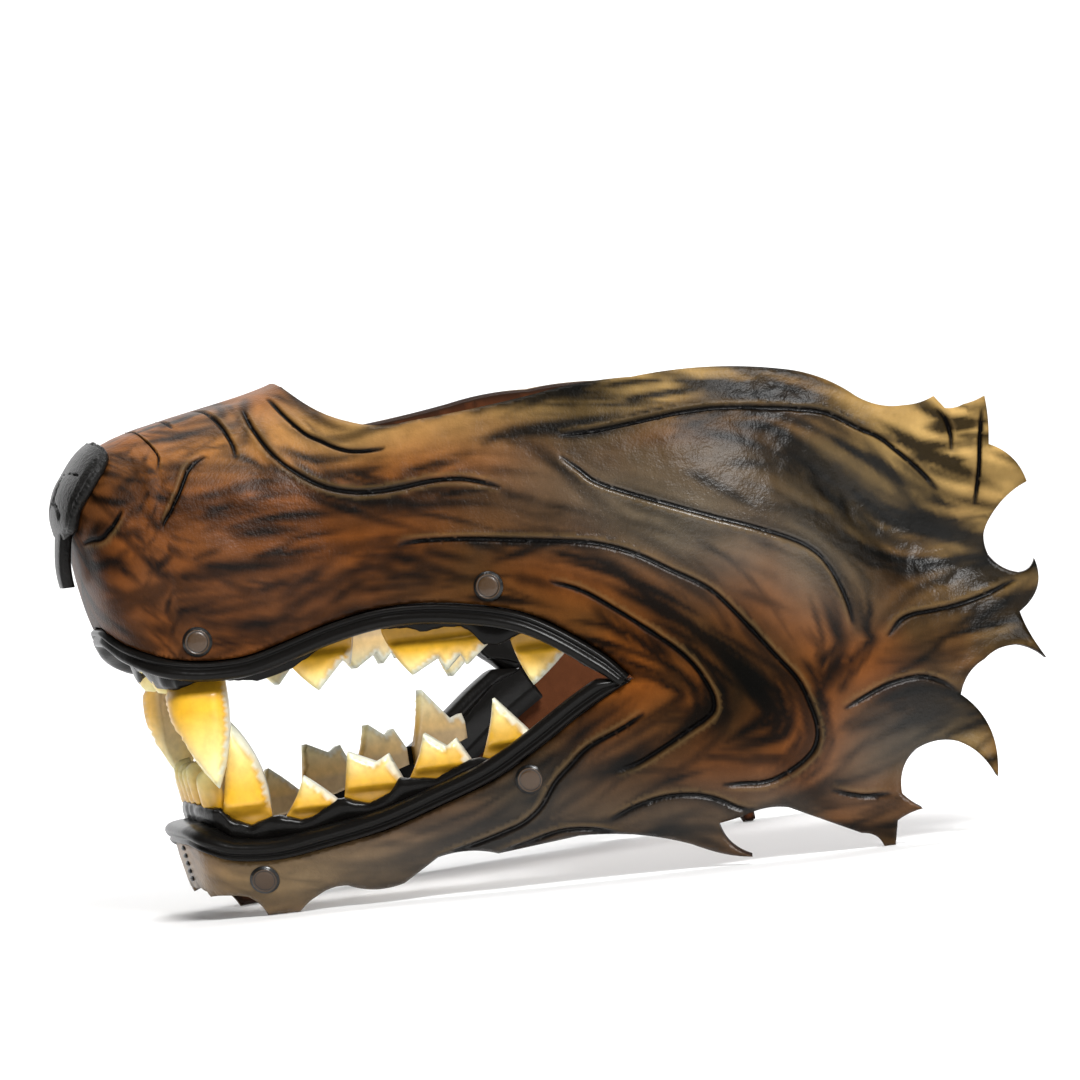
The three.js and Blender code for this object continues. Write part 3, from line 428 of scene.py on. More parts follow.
# Lines cut into the leather: the side of the raised lip, left or right along the line, then places
# seen from the side as shares of length and height
groove_rows = {
    "nose_top": (1, (0.091, 0.948), (0.103, 0.922), (0.112, 0.883), (0.108, 0.866)),
    "bridge_fold": (1, (0.126, 0.952), (0.135, 0.936)),
    "bridge_front": (1, (0.166, 0.965), (0.173, 0.961), (0.184, 0.929), (0.191, 0.884), (0.188, 0.849)),
    "muzzle_fold": (-1, (0.162, 0.880), (0.144, 0.866), (0.133, 0.839), (0.124, 0.812), (0.102, 0.756)),
    "muzzle_wave": (
        0, (0.212, 0.956), (0.215, 0.922), (0.226, 0.876), (0.242, 0.840), (0.270, 0.800), (0.297, 0.780),
        (0.329, 0.773), (0.356, 0.776), (0.384, 0.781), (0.412, 0.778), (0.439, 0.763), (0.459, 0.745),
    ),
    "brow_line": (
        1, (0.241, 0.974), (0.251, 0.936), (0.266, 0.900), (0.279, 0.883), (0.300, 0.860), (0.324, 0.852),
        (0.354, 0.852),
    ),
    "nostril_fold": (1, (0.063, 0.797), (0.049, 0.767), (0.032, 0.745), (0.022, 0.745)),
    "outer_cheek": (
        1, (0.338, 0.670), (0.365, 0.672), (0.412, 0.665), (0.450, 0.655), (0.498, 0.642), (0.535, 0.629),
        (0.572, 0.602), (0.608, 0.562), (0.645, 0.517), (0.680, 0.441), (0.707, 0.377), (0.725, 0.334),
        (0.735, 0.288), (0.741, 0.244), (0.739, 0.212), (0.730, 0.189), (0.712, 0.167), (0.685, 0.149),
        (0.655, 0.151), (0.626, 0.155),
    ),
    "inner_cheek": (
        1, (0.482, 0.571), (0.515, 0.545), (0.547, 0.502), (0.573, 0.464), (0.600, 0.422), (0.618, 0.386),
        (0.630, 0.348), (0.636, 0.318), (0.636, 0.300), (0.628, 0.283), (0.601, 0.257), (0.570, 0.227),
        (0.550, 0.211), (0.528, 0.203),
    ),
    "cheekbone": (
        -1, (0.512, 0.801), (0.528, 0.772), (0.544, 0.743), (0.580, 0.711), (0.616, 0.683), (0.653, 0.655),
        (0.691, 0.629), (0.730, 0.599), (0.750, 0.580), (0.766, 0.555), (0.778, 0.517), (0.788, 0.460),
        (0.791, 0.410),
    ),
    "top_line": (
        1, (0.515, 0.837), (0.554, 0.838), (0.593, 0.844), (0.633, 0.851), (0.674, 0.853), (0.714, 0.847),
        (0.755, 0.835), (0.787, 0.822), (0.804, 0.808), (0.830, 0.778), (0.847, 0.761), (0.864, 0.732),
        (0.889, 0.684), (0.911, 0.629),
    ),
    "rear_upper": (1, (0.913, 0.804), (0.922, 0.781), (0.925, 0.754), (0.924, 0.728), (0.919, 0.700)),
    "rear_edge": (
        -1, (0.962, 0.791), (0.959, 0.756), (0.955, 0.725), (0.950, 0.677), (0.943, 0.630), (0.939, 0.595),
    ),
    "rear_middle": (
        -1, (0.977, 0.467), (0.948, 0.447), (0.919, 0.435), (0.888, 0.429), (0.858, 0.426), (0.843, 0.417),
        (0.822, 0.384),
    ),
    "rear_lower": (
        1, (0.770, 0.265), (0.787, 0.278), (0.820, 0.301), (0.849, 0.309), (0.866, 0.305), (0.885, 0.288),
        (0.900, 0.267),
    ),
    "spike_line": (1, (0.749, 0.119), (0.768, 0.107), (0.789, 0.098), (0.821, 0.102)),
    "foot_line": (
        1, (0.519, 0.110), (0.546, 0.130), (0.576, 0.142), (0.606, 0.141), (0.629, 0.129), (0.654, 0.105),
        (0.674, 0.099),
    ),
    "jaw_line": (
        -1, (0.566, 0.306), (0.538, 0.279), (0.504, 0.252), (0.484, 0.221), (0.468, 0.194), (0.453, 0.153),
        (0.433, 0.124), (0.402, 0.104), (0.367, 0.086), (0.339, 0.072),
    ),
    "jaw_foot": (1, (0.404, 0.070), (0.437, 0.086), (0.472, 0.101), (0.507, 0.096), (0.534, 0.079)),
}
FINE_STEP = 0.5 * MM
GROOVE_STEP = 1.1 * MM
GROOVE_SPACING = 0.3 * MM
GROOVE_SEARCH = 4 * MM
GROOVE_DEPTH = 0.95 * MM
GROOVE_HALF_WIDTH = 0.8 * MM
GROOVE_TAPER = 7 * MM
TAPER_POWER = 0.6
LIP_RISE = 0.28 * MM
LIP_OFFSET = 1.25 * MM
LIP_SPREAD = 0.45 * MM
# Rows of places along each cut line, so that the triangles follow its sides and its lip
groove_offsets = np.array([0, 0.4, -0.4, 0.8, -0.8, 1.25, -1.25]) * MM
BODY_CLEARANCE = 0.55 * BODY_STEP

groove_curves = {}
for groove_name, (lip_side, *places) in groove_rows.items():
    groove_curves[groove_name] = spline(to_flat(side_curve(places, FINE_STEP))[::6], GROOVE_STEP)


def curve_sides(curve):
    """Unit directions to the left of a flat curve."""
    ahead = np.gradient(curve, axis=0)
    ahead /= np.maximum(np.linalg.norm(ahead, axis=1, keepdims=True), 1e-12)
    return np.stack([-ahead[:, 1], ahead[:, 0]], axis=1)


def inside_loop(points, loop):
    """Which flat points lie inside a closed loop."""
    inside = np.zeros(len(points), bool)
    before = np.roll(loop, 1, axis=0)
    for (x1, y1), (x2, y2) in zip(before, loop):
        if y1 == y2:
            continue
        crosses = (y1 > points[:, 1]) != (y2 > points[:, 1])
        inside ^= crosses & (points[:, 0] < (x2 - x1) * (points[:, 1] - y1) / (y2 - y1) + x1)
    return inside


def gaps_to(points, others):
    """Distance of flat points from the nearest of the others."""
    tree = kdtree.KDTree(len(others))
    for index, (x, y) in enumerate(others):
        tree.insert((x, y, 0), index)
    tree.balance()
    return np.array([tree.find((x, y, 0))[2] for x, y in points])


def spread(points, distance):
    """Points thinned so that no two share a square of the given size."""
    _, first = np.unique(np.round(points / distance).astype(int), axis=0, return_index=True)
    return points[np.sort(first)]


# The rows of a honeycomb, as a share of the step between its columns
ROW_SHARE = 0.866


def honeycomb(loop, step, inset=0):
    """Even places over the box of a flat loop, from its lowest corner or a little inwards."""
    low, high = loop.min(axis=0), loop.max(axis=0)
    rows = np.arange(low[1] + inset, high[1], step * ROW_SHARE)
    columns = np.arange(low[0] + inset, high[0], step)
    u, v = np.meshgrid(columns, rows)
    u[1::2] += step / 2
    return np.stack([u.ravel(), v.ravel()], axis=1)


def fill_loop(loop, points, clearance):
    """Places and triangles that fill a closed flat loop, which must not cross itself, through more
    points inside it that keep clear of it. The loop's own places come first."""
    kept = points[inside_loop(points, loop)]
    kept = kept[gaps_to(kept, loop) > clearance]
    flat = np.vstack([loop, kept])
    count = len(loop)
    edges = [(i, (i + 1) % count) for i in range(count)]
    scaled = [Vector(pair) for pair in (flat / MM).tolist()]
    _, _, faces, origins, _, _ = geometry.delaunay_2d_cdt(scaled, edges, [], 0, 1e-5)
    order = np.array([min(origin) for origin in origins])
    faces = order[np.array([list(face) for face in faces])]
    return flat, faces[inside_loop(flat[faces].mean(axis=1), loop)]


groove_points = []
for curve in groove_curves.values():
    sides = curve_sides(curve)
    groove_points += [curve + sides * offset for offset in groove_offsets]
groove_points = spread(np.vstack(groove_points), GROOVE_SPACING)
body_points = honeycomb(outline, BODY_STEP)
body_points = body_points[gaps_to(body_points, groove_points) > BODY_CLEARANCE]
outer_flat, outer_faces = fill_loop(outline, np.vstack([groove_points, body_points]), EDGE_CLEARANCE)
inner_flat, inner_faces = fill_loop(outline, honeycomb(outline, INNER_STEP), EDGE_CLEARANCE)


def nearest_groove(flat):
    """Distance to the nearest cut line, positive on its lip's side, and the line's taper there."""
    nearest = np.full(len(flat), 1.0)
    signed = np.full(len(flat), 1.0)
    taper = np.zeros(len(flat))
    for groove_name, curve in groove_curves.items():
        lip_side = groove_rows[groove_name][0]
        low, high = curve.min(axis=0) - GROOVE_SEARCH, curve.max(axis=0) + GROOVE_SEARCH
        near = np.nonzero(((flat > low) & (flat < high)).all(axis=1))[0]
        start, stretch = curve[:-1], np.diff(curve, axis=0)
        offset = flat[near][:, None] - start[None]
        share = np.clip((offset * stretch).sum(axis=2) / (stretch**2).sum(axis=1), 0, 1)
        away = offset - share[..., None] * stretch
        gaps = np.linalg.norm(away, axis=2)
        best = gaps.argmin(axis=1)
        rows = np.arange(len(near))
        gap = gaps[rows, best]
        side = np.sign(stretch[best, 0] * away[rows, best, 1] - stretch[best, 1] * away[rows, best, 0])
        place = (best + share[rows, best]) * GROOVE_STEP
        left = np.minimum(place, (len(curve) - 1) * GROOVE_STEP - place)
        closer = gap < nearest[near]
        chosen = near[closer]
        nearest[chosen] = gap[closer]
        turned = np.ones(len(near)) if lip_side == 0 else side * lip_side
        signed[chosen] = (gap * turned)[closer]
        taper[chosen] = np.clip(left / GROOVE_TAPER, 0, 1)[closer] ** TAPER_POWER
    return signed, taper


groove_gap, groove_taper = nearest_groove(outer_flat)
groove_cut = np.clip(1 - np.abs(groove_gap) / GROOVE_HALF_WIDTH, 0, 1) * groove_taper
groove_lip = np.exp(-(((groove_gap - LIP_OFFSET) / LIP_SPREAD) ** 2)) * groove_taper

# A grid over the flat shell for noise: unevenness of the leather here, and its paint further on
PAINT_STEP = 1.0 * MM
paint_low = outline.min(axis=0) - 4 * PAINT_STEP
paint_size = np.ceil((outline.max(axis=0) - paint_low) / PAINT_STEP).astype(int) + 5
paint_u, paint_v = np.meshgrid(np.arange(paint_size[0]), np.arange(paint_size[1]), indexing="ij")
paint_places = np.stack([paint_u.ravel(), paint_v.ravel()], axis=1) * PAINT_STEP + paint_low


def mixed(grid, i, j, s, t):
    """Values of a grid between four neighbours, by shares of the way from the first of them."""
    near = grid[i, j] * (1 - t) + grid[i, j + 1] * t
    far = grid[i + 1, j] * (1 - t) + grid[i + 1, j + 1] * t
    return near * (1 - s) + far * s


def look_up(grid, places, cell=PAINT_STEP):
    """Values of a grid over the flat shell at flat places."""
    spot = np.clip((places - paint_low) / cell, 0, np.array(grid.shape) - 1.001)
    low = spot.astype(int)
    return mixed(grid, *low.T, *(spot - low).T)


def soft_noise(seed, size):
    """Even noise over the paint grid with spots of about one size in metres, spread about zero."""
    cells = np.maximum((paint_size * PAINT_STEP / size).astype(int), 2) + 3
    coarse = np.random.default_rng(seed).normal(size=cells)
    spot_u, spot_v = paint_u * PAINT_STEP / size, paint_v * PAINT_STEP / size
    i = np.clip(spot_u.astype(int), 0, cells[0] - 2)
    j = np.clip(spot_v.astype(int), 0, cells[1] - 2)
    s, t = spot_u - i, spot_v - j
    return mixed(coarse, i, j, s * s * (3 - 2 * s), t * t * (3 - 2 * t))


# Unevenness of the leather: depths, and the sizes of its spots
UNEVEN = 0.3 * MM
UNEVEN_SIZE = 13 * MM
RIPPLE = 0.12 * MM
RIPPLE_SIZE = 5 * MM
WRINKLE = 0.45 * MM
WRINKLE_SIZE = 2.6 * MM
WRINKLE_SHARPNESS = 1.6
# It fades out within a rim along the cut edge, and over a share of the length behind the nose
EVEN_RIM = 4 * MM
NOSE_EVEN = 0.06
NOSE_FADE = 0.12
# Creased places: place, spread in metres along and across, tilt in degrees, strength
crease_rows = (
    (0.76, 0.81, 0.018, 0.01, -45, 0.8), (0.82, 0.65, 0.022, 0.01, -45, 1.0),
    (0.9, 0.52, 0.018, 0.01, -35, 0.9), (0.62, 0.77, 0.02, 0.006, -10, 0.3),
    (0.8, 0.2, 0.016, 0.01, 20, 0.4), (0.42, 0.8, 0.02, 0.01, 0, 0.3),
)


def zone(rows, places):
    """How strongly soft zones cover places seen from the side."""
    cover = np.zeros(len(places))
    for along, up, long, wide, tilt, strength in rows:
        away = (places - [along, up]) * [LENGTH, HEIGHT]
        lengthwise, crosswise = tilted(*away.T, tilt, long, wide)
        cover = np.maximum(cover, strength * np.exp(-(lengthwise**2 + crosswise**2) / 2))
    return cover


side_places = seen_from_side(from_flat(outer_flat))
settled = np.clip(gaps_to(outer_flat, outline) / EVEN_RIM, 0, 1)
uneven = UNEVEN * look_up(soft_noise(21, UNEVEN_SIZE), outer_flat)
uneven += RIPPLE * look_up(soft_noise(22, RIPPLE_SIZE), outer_flat)
wrinkles = np.abs(look_up(soft_noise(23, WRINKLE_SIZE), outer_flat))
uneven += WRINKLE * np.clip(1 - WRINKLE_SHARPNESS * wrinkles, 0, 1) * zone(crease_rows, side_places)
uneven *= settled * np.clip((side_places[:, 0] - NOSE_EVEN) / NOSE_FADE, 0, 1)
# The tip of the nose falls away more steeply above the pad's face
NOSE_FALL = 1.9 * MM
nose_rows = ((0.03, 0.925, 0.009, 0.006, 50, 1.0),)
uneven += NOSE_FALL * zone(nose_rows, side_places)

# The tufts' points curl outwards: place, reach and lift in metres
curl_rows = (
    (0.996, 0.502, 0.012, 0.004), (0.992, 0.314, 0.013, 0.005), (0.926, 0.112, 0.014, 0.005),
    (0.842, 0.075, 0.012, 0.006), (0.664, 0.026, 0.012, 0.005), (0.967, 0.811, 0.01, 0.002),
)


CURL_POWER = 1.5
# At the very front, where the sections close, the face turns to look straight ahead
FRONT_TURN = 1.5 * MM


def shell_layer(flat, depth):
    """Points of the +X half at a depth below the moulded face."""
    points = from_flat(flat)
    normals = surface_normal(points)
    front = np.exp(-((flat[:, 0] / FRONT_TURN) ** 2))[:, None]
    normals = normals * (1 - front) + np.array([0, -1, 0]) * front
    normals /= np.linalg.norm(normals, axis=1, keepdims=True)
    lift = np.zeros(len(points))
    for along, up, reach, height in curl_rows:
        away = np.hypot(points[:, 1] - (along - 0.5) * LENGTH, points[:, 2] - up * HEIGHT)
        lift += height * np.clip(1 - away / reach, 0, 1) ** CURL_POWER
    return points + normals * (lift - depth)[:, None]


RIM_ROUND = 0.35 * MM
outer_depth = GROOVE_DEPTH * groove_cut - LIP_RISE * groove_lip + uneven
outer_depth[:outline_count] = np.where(on_centre, outer_depth[:outline_count], RIM_ROUND)
inner_depth = np.full(len(inner_flat), SHELL_LEATHER)
inner_depth[:outline_count] = np.where(on_centre, SHELL_LEATHER, SHELL_LEATHER - RIM_ROUND)
rim_depths = (0.3 * SHELL_LEATHER, 0.7 * SHELL_LEATHER)
half_points = np.vstack(
    [
        shell_layer(outer_flat, outer_depth),
        shell_layer(inner_flat, inner_depth),
        *(shell_layer(outline, depth) for depth in rim_depths),
    ]
)
outer_count, inner_count = len(outer_flat), len(inner_flat)
half_centre = np.zeros(len(half_points), bool)
rings = (0, outer_count + inner_count, outer_count + inner_count + outline_count, outer_count)
for ring in rings:
    half_centre[ring : ring + outline_count] = on_centre
half_points[half_centre, 0] = 0
half_faces = [outer_faces, inner_faces[:, ::-1] + outer_count]
loop = np.arange(outline_count)
onward = np.roll(loop, -1)
rim_parts = ~(on_centre & on_centre[onward])
anticlockwise = np.sum(outline[loop, 0] * outline[onward, 1] - outline[onward, 0] * outline[loop, 1]) > 0
for first, second in zip(rings[:-1], rings[1:]):
    a, b = loop[rim_parts] + first, onward[rim_parts] + first
    c, d = loop[rim_parts] + second, onward[rim_parts] + second
    strip = np.vstack([np.stack([b, a, c], axis=1), np.stack([b, c, d], axis=1)])
    half_faces.append(strip if anticlockwise else strip[:, ::-1])
half_faces = np.vstack(half_faces)


def mirrored(points, faces, centre):
    """A half and its mirror image as one body, sharing the points of the middle plane."""
    count = len(points)
    other = np.arange(count) + count
    other[centre] = np.arange(count)[centre]
    everything = np.vstack([points, points * [-1, 1, 1]])
    joined = np.vstack([faces, other[faces[:, ::-1]]])
    used = np.unique(joined)
    renamed = np.zeros(2 * count, int)
    renamed[used] = np.arange(len(used))
    return everything[used], renamed[joined], used % count


def make_object(name, points, faces, smooth=True):
    mesh = bpy.data.meshes.new(name)
    mesh.from_pydata(points.tolist(), [], faces.tolist())
    mesh.polygons.foreach_set("use_smooth", [smooth] * len(mesh.polygons))
    made = bpy.data.objects.new(name, mesh)
    scene.collection.objects.link(made)
    return made


shell_points, shell_faces, shell_source = mirrored(half_points, half_faces, half_centre)
shell = make_object("shell", shell_points, shell_faces)

# The airbrushed strokes follow the cut lines. Their way is spread over a grid of the flat shell from
# guide lines, and noise drawn out along it gives the strokes.
STROKE_STEPS = 13
more_guides = (
    ((0.04, 0.695), (0.094, 0.703), (0.156, 0.671), (0.23, 0.645)),
    ((0.053, 0.924), (0.103, 0.905), (0.16, 0.91), (0.212, 0.93)),
    ((0.062, 0.711), (0.128, 0.735), (0.217, 0.756), (0.302, 0.756)),
    ((0.032, 0.637), (0.099, 0.625), (0.185, 0.625), (0.273, 0.645), (0.355, 0.647), (0.437, 0.631)),
    ((0.05, 0.555), (0.114, 0.535), (0.201, 0.545), (0.289, 0.583), (0.371, 0.587)),
    ((0.305, 0.872), (0.354, 0.862), (0.408, 0.89), (0.486, 0.9)),
    ((0.144, 0.086), (0.23, 0.078), (0.303, 0.092), (0.376, 0.126), (0.442, 0.18), (0.508, 0.265)),
    ((0.196, 0.036), (0.27, 0.04), (0.333, 0.066)),
    ((0.609, 0.906), (0.672, 0.892), (0.736, 0.868), (0.809, 0.804), (0.88, 0.709), (0.943, 0.655)),
    ((0.785, 0.906), (0.847, 0.852), (0.91, 0.8), (0.975, 0.766)),
    ((0.74, 0.8), (0.8, 0.69), (0.86, 0.6), (0.94, 0.54)),
    ((0.8, 0.4), (0.84, 0.34), (0.9, 0.36), (0.97, 0.38)),
    ((0.7, 0.12), (0.77, 0.16), (0.84, 0.21), (0.88, 0.24)),
    ((0.76, 0.3), (0.8, 0.36), (0.86, 0.46), (0.95, 0.5)),
    ((0.05, 0.75), (0.12, 0.69), (0.18, 0.66)),
    ((0.06, 0.66), (0.13, 0.62), (0.2, 0.6)),
    ((0.05, 0.6), (0.12, 0.575), (0.2, 0.57)),
    ((0.08, 0.5), (0.15, 0.49), (0.22, 0.51)),
    ((0.09, 0.8), (0.16, 0.78), (0.24, 0.79)),
)
crossing_lines = (
    "nose_top", "bridge_fold", "bridge_front", "muzzle_fold", "nostril_fold", "rear_upper", "rear_edge",
)
guide_curves = [curve for name, curve in groove_curves.items() if name not in crossing_lines]
for rows in more_guides:
    guide_curves.append(to_flat(side_curve(rows, GROOVE_STEP)))
guide_places = np.vstack([(curve[1:] + curve[:-1])[::2] / 2 for curve in guide_curves])
guide_ways = np.vstack([np.diff(curve, axis=0)[::2] for curve in guide_curves])
guide_angles = 2 * np.arctan2(guide_ways[:, 1], guide_ways[:, 0])

# Angles are doubled, because a stroke runs both ways; nearer guides weigh more
GUIDE_SOFTNESS = 3 * MM
GUIDE_FALL = 1.6
GUIDE_BATCH = 4000
doubled = np.zeros((len(paint_places), 2))
for start in range(0, len(paint_places), GUIDE_BATCH):
    batch = slice(start, start + GUIDE_BATCH)
    gap = ((paint_places[batch][:, None] - guide_places[None]) ** 2).sum(axis=2) + GUIDE_SOFTNESS**2
    weight = gap**-GUIDE_FALL
    doubled[batch, 0] = (weight * np.cos(guide_angles)).sum(axis=1)
    doubled[batch, 1] = (weight * np.sin(guide_angles)).sum(axis=1)
way_angle = np.arctan2(doubled[:, 1], doubled[:, 0]) / 2
paint_ways = np.stack([np.cos(way_angle), np.sin(way_angle)], axis=1)


def way_at(places):
    """The strokes' way at the grid place nearest to each flat place."""
    spot = np.clip(np.round((places - paint_low) / PAINT_STEP).astype(int), 0, paint_size - 1)
    return paint_ways[spot[:, 0] * paint_size[1] + spot[:, 1]]


def drawn_out(grid, steps):
    """Noise averaged along the strokes' way, with an even spread again."""
    total = look_up(grid, paint_places)
    for sign in (1, -1):
        places, ways = paint_places.copy(), paint_ways * sign
        for _ in range(steps):
            places = places + ways * PAINT_STEP
            onward = way_at(places)
            turned = np.sign((onward * ways).sum(axis=1))
            ways = onward * np.where(turned == 0, 1, turned)[:, None]
            total += look_up(grid, places)
    total = (total - total.mean()) / total.std()
    return total.reshape(paint_u.shape)


FINE_SIZE = 1.2 * MM
CLOUD_SIZE = 9 * MM
fine_strokes = drawn_out(soft_noise(3, FINE_SIZE), 2 * STROKE_STEPS)
clouds = drawn_out(soft_noise(5, CLOUD_SIZE), STROKE_STEPS)

# Single airbrushed strokes: their number, the least and greatest length, half width and strength, a
# power that makes the smaller ones more frequent, and how far they sway from the way of the fur
STROKE_COUNT = 900
STROKE_LENGTHS = (14 * MM, 58 * MM)
STROKE_HALF_WIDTHS = (0.6 * MM, 1.7 * MM)
STROKE_STRENGTHS = (0.5, 1.0)
SIZE_POWER = 1.2
STROKE_SWAY = 0.8
# The grid the strokes are laid on and how many cells a stroke reaches; its shares of fading in and out,
# the faintest mark that is drawn, and the share of its width that a stroke keeps at its ends
STROKE_CELL = 0.5 * MM
STROKE_REACH = 7
FADE_IN = 0.25
FADE_OUT = 0.45
FAINTEST = 0.02
NARROWEST_END = 0.4
chance = np.random.default_rng(11)
stroke_size = np.ceil(paint_size * PAINT_STEP / STROKE_CELL).astype(int)
stroke_grid = np.zeros(stroke_size)
span = outline.max(axis=0) - outline.min(axis=0)
stroke_places = outline.min(axis=0) + chance.random((STROKE_COUNT, 2)) * span
lengths, widths, strengths = (
    low + (high - low) * chance.random(STROKE_COUNT) ** SIZE_POWER
    for low, high in (STROKE_LENGTHS, STROKE_HALF_WIDTHS, STROKE_STRENGTHS)
)
sway = (chance.random(STROKE_COUNT) - 0.5) * STROKE_SWAY
stroke_ways = None
for step in range(int(STROKE_LENGTHS[1] / PAINT_STEP)):
    onward = way_at(stroke_places)
    if stroke_ways is not None:
        onward = onward * np.where((onward * stroke_ways).sum(axis=1) < 0, -1, 1)[:, None]
    stroke_ways = onward
    drift = np.stack([-onward[:, 1], onward[:, 0]], axis=1) * sway[:, None]
    moved = onward + drift
    stroke_places = stroke_places + moved / np.linalg.norm(moved, axis=1, keepdims=True) * PAINT_STEP
    share = step * PAINT_STEP / lengths
    fade = np.clip(np.minimum(share / FADE_IN, (1 - share) / FADE_OUT), 0, 1)
    alive = np.nonzero(fade > FAINTEST)[0]
    cell = np.round((stroke_places[alive] - paint_low) / STROKE_CELL).astype(int)
    for i in range(-STROKE_REACH, STROKE_REACH + 1):
        for j in range(-STROKE_REACH, STROKE_REACH + 1):
            at = np.clip(cell + [i, j], 0, stroke_size - 1)
            away = np.linalg.norm(at * STROKE_CELL + paint_low - stroke_places[alive], axis=1)
            half_widths = widths[alive] * (NARROWEST_END + (1 - NARROWEST_END) * fade[alive])
            mark = strengths[alive] * fade[alive] * np.exp(-((away / half_widths) ** 2))
            np.maximum.at(stroke_grid, (at[:, 0], at[:, 1]), mark)


# Paint zones seen from the side: place, spread in metres along and across, tilt in degrees, strength
glow_rows = (
    (0.734, 0.451, 0.012, 0.016, 60, 0.5), (0.816, 0.335, 0.009, 0.007, 0, 0.9),
    (0.72, 0.22, 0.013, 0.011, 30, 0.9), (0.57, 0.427, 0.009, 0.012, 0, 0.9),
    (0.7, 0.497, 0.013, 0.01, -50, 0.8), (0.535, 0.551, 0.02, 0.006, -20, 0.7),
    (0.62, 0.33, 0.006, 0.012, 0, 0.7), (0.16, 0.864, 0.02, 0.012, 0, 0.7),
    (0.23, 0.86, 0.012, 0.02, -40, 0.7), (0.405, 0.852, 0.02, 0.008, 10, 0.8),
    (0.767, 0.875, 0.011, 0.007, -20, 0.8), (0.571, 0.251, 0.014, 0.008, 30, 0.5),
    (0.665, 0.192, 0.013, 0.008, 0, 0.6), (0.3, 0.09, 0.03, 0.008, 0, 0.35),
    (0.8, 0.1, 0.012, 0.006, 0, 0.6), (0.93, 0.36, 0.012, 0.012, -40, 0.8),
    (0.3, 0.7, 0.05, 0.012, 0, 0.35), (0.86, 0.49, 0.01, 0.008, 0, 0.35),
)
# Gold zones are golden tan dye, with painted light on the top rim and the flared rear top
gold_and_painted_light_rows = (
    (0.609, 0.915, 0.03, 0.005, 0, 0.8), (0.73, 0.9, 0.02, 0.005, 0, 0.6),
    (0.837, 0.83, 0.014, 0.008, -20, 0.8), (0.9, 0.72, 0.018, 0.015, -40, 1.0),
    (0.95, 0.74, 0.012, 0.014, 0, 1.0), (0.957, 0.56, 0.012, 0.014, -30, 0.9),
    (0.98, 0.66, 0.008, 0.012, 0, 0.9), (0.34, 0.9, 0.03, 0.006, 0, 0.4),
    (0.96, 0.37, 0.007, 0.008, 0, 0.6), (0.9, 0.2, 0.006, 0.01, 0, 0.4),
    (0.17, 0.065, 0.022, 0.009, 0, 0.5),
)
# Dark zones are black dye along the fur and tufts, with painted shade in the hollow crease behind the
# cheekbone
dark_dye_and_shade_rows = (
    (0.745, 0.85, 0.016, 0.011, -40, 1.0), (0.79, 0.71, 0.022, 0.011, -50, 1.0),
    (0.85, 0.585, 0.022, 0.012, -45, 1.0), (0.93, 0.475, 0.014, 0.012, -20, 0.9),
    (0.985, 0.42, 0.01, 0.016, 0, 1.0), (0.545, 0.9, 0.013, 0.009, 0, 0.8),
    (0.03, 0.63, 0.006, 0.012, 0, 0.7), (0.6, 0.11, 0.02, 0.008, 10, 0.7),
    (0.86, 0.27, 0.016, 0.011, 40, 0.95), (0.67, 0.31, 0.009, 0.02, -20, 0.8),
    (0.2, 0.755, 0.03, 0.003, -8, 0.6), (0.35, 0.72, 0.03, 0.004, 0, 0.5),
    (0.1, 0.585, 0.02, 0.005, -10, 0.5), (0.25, 0.665, 0.03, 0.003, 5, 0.5),
    (0.33, 0.615, 0.03, 0.004, 5, 0.5), (0.08, 0.83, 0.01, 0.006, -30, 0.5),
    (0.655, 0.53, 0.012, 0.005, -50, 0.7), (0.45, 0.16, 0.012, 0.012, 60, 0.6),
    (0.78, 0.49, 0.006, 0.012, 0, 0.5), (0.69, 0.1, 0.012, 0.008, 0, 0.6),
    (0.5, 0.35, 0.01, 0.01, 40, 0.6), (0.47, 0.59, 0.02, 0.004, -20, 0.5),
    (0.9, 0.62, 0.012, 0.006, -50, 0.5), (0.58, 0.5, 0.012, 0.005, -55, 0.5),
    (0.63, 0.27, 0.02, 0.014, 20, 0.55), (0.47, 0.62, 0.03, 0.01, -10, 0.4),
    (0.41, 0.1, 0.03, 0.01, 10, 0.6), (0.76, 0.28, 0.012, 0.014, 0, 0.4),
    (0.95, 0.45, 0.02, 0.016, 0, 1.0), (0.55, 0.2, 0.02, 0.01, 30, 0.5),
    (0.72, 0.95, 0.05, 0.003, 0, 0.5), (0.6, 0.2, 0.03, 0.012, 20, 0.4),
)
# Grey zones are painted sheen on the cheekbone and painted reflected light on the chin and under the jaw
painted_sheen_rows = (
    (0.62, 0.655, 0.03, 0.009, -25, 1.0), (0.75, 0.57, 0.014, 0.01, -50, 1.0),
    (0.54, 0.72, 0.014, 0.01, -10, 0.7), (0.3, 0.072, 0.045, 0.009, 5, 0.9),
    (0.15, 0.075, 0.014, 0.008, 0, 0.6), (0.42, 0.1, 0.02, 0.01, 20, 0.7),
    (0.82, 0.19, 0.016, 0.01, 30, 0.8), (0.6, 0.09, 0.03, 0.008, 0, 0.6),
    (0.7, 0.74, 0.02, 0.01, -10, 0.4), (0.69, 0.07, 0.01, 0.008, -30, 0.8),
)
# Where the varnish shines on the brown
shine_rows = (
    (0.22, 0.65, 0.03, 0.012, 0, 0.3), (0.3, 0.8, 0.03, 0.01, -20, 0.35), (0.46, 0.78, 0.03, 0.008, 0, 0.3),
    (0.15, 0.075, 0.02, 0.012, 0, 0.7),
)


def mix(first, second, share):
    """Rows of colours on their way from the first to the second."""
    return first * (1 - share[:, None]) + np.asarray(second) * share[:, None]


def from_screen(red, green, blue):
    """A colour as seen on a screen, from 0 to 255, as light."""
    value = np.array([red, green, blue]) / 255
    return np.where(value <= 0.04045, value / 12.92, ((value + 0.055) / 1.055) ** 2.4)


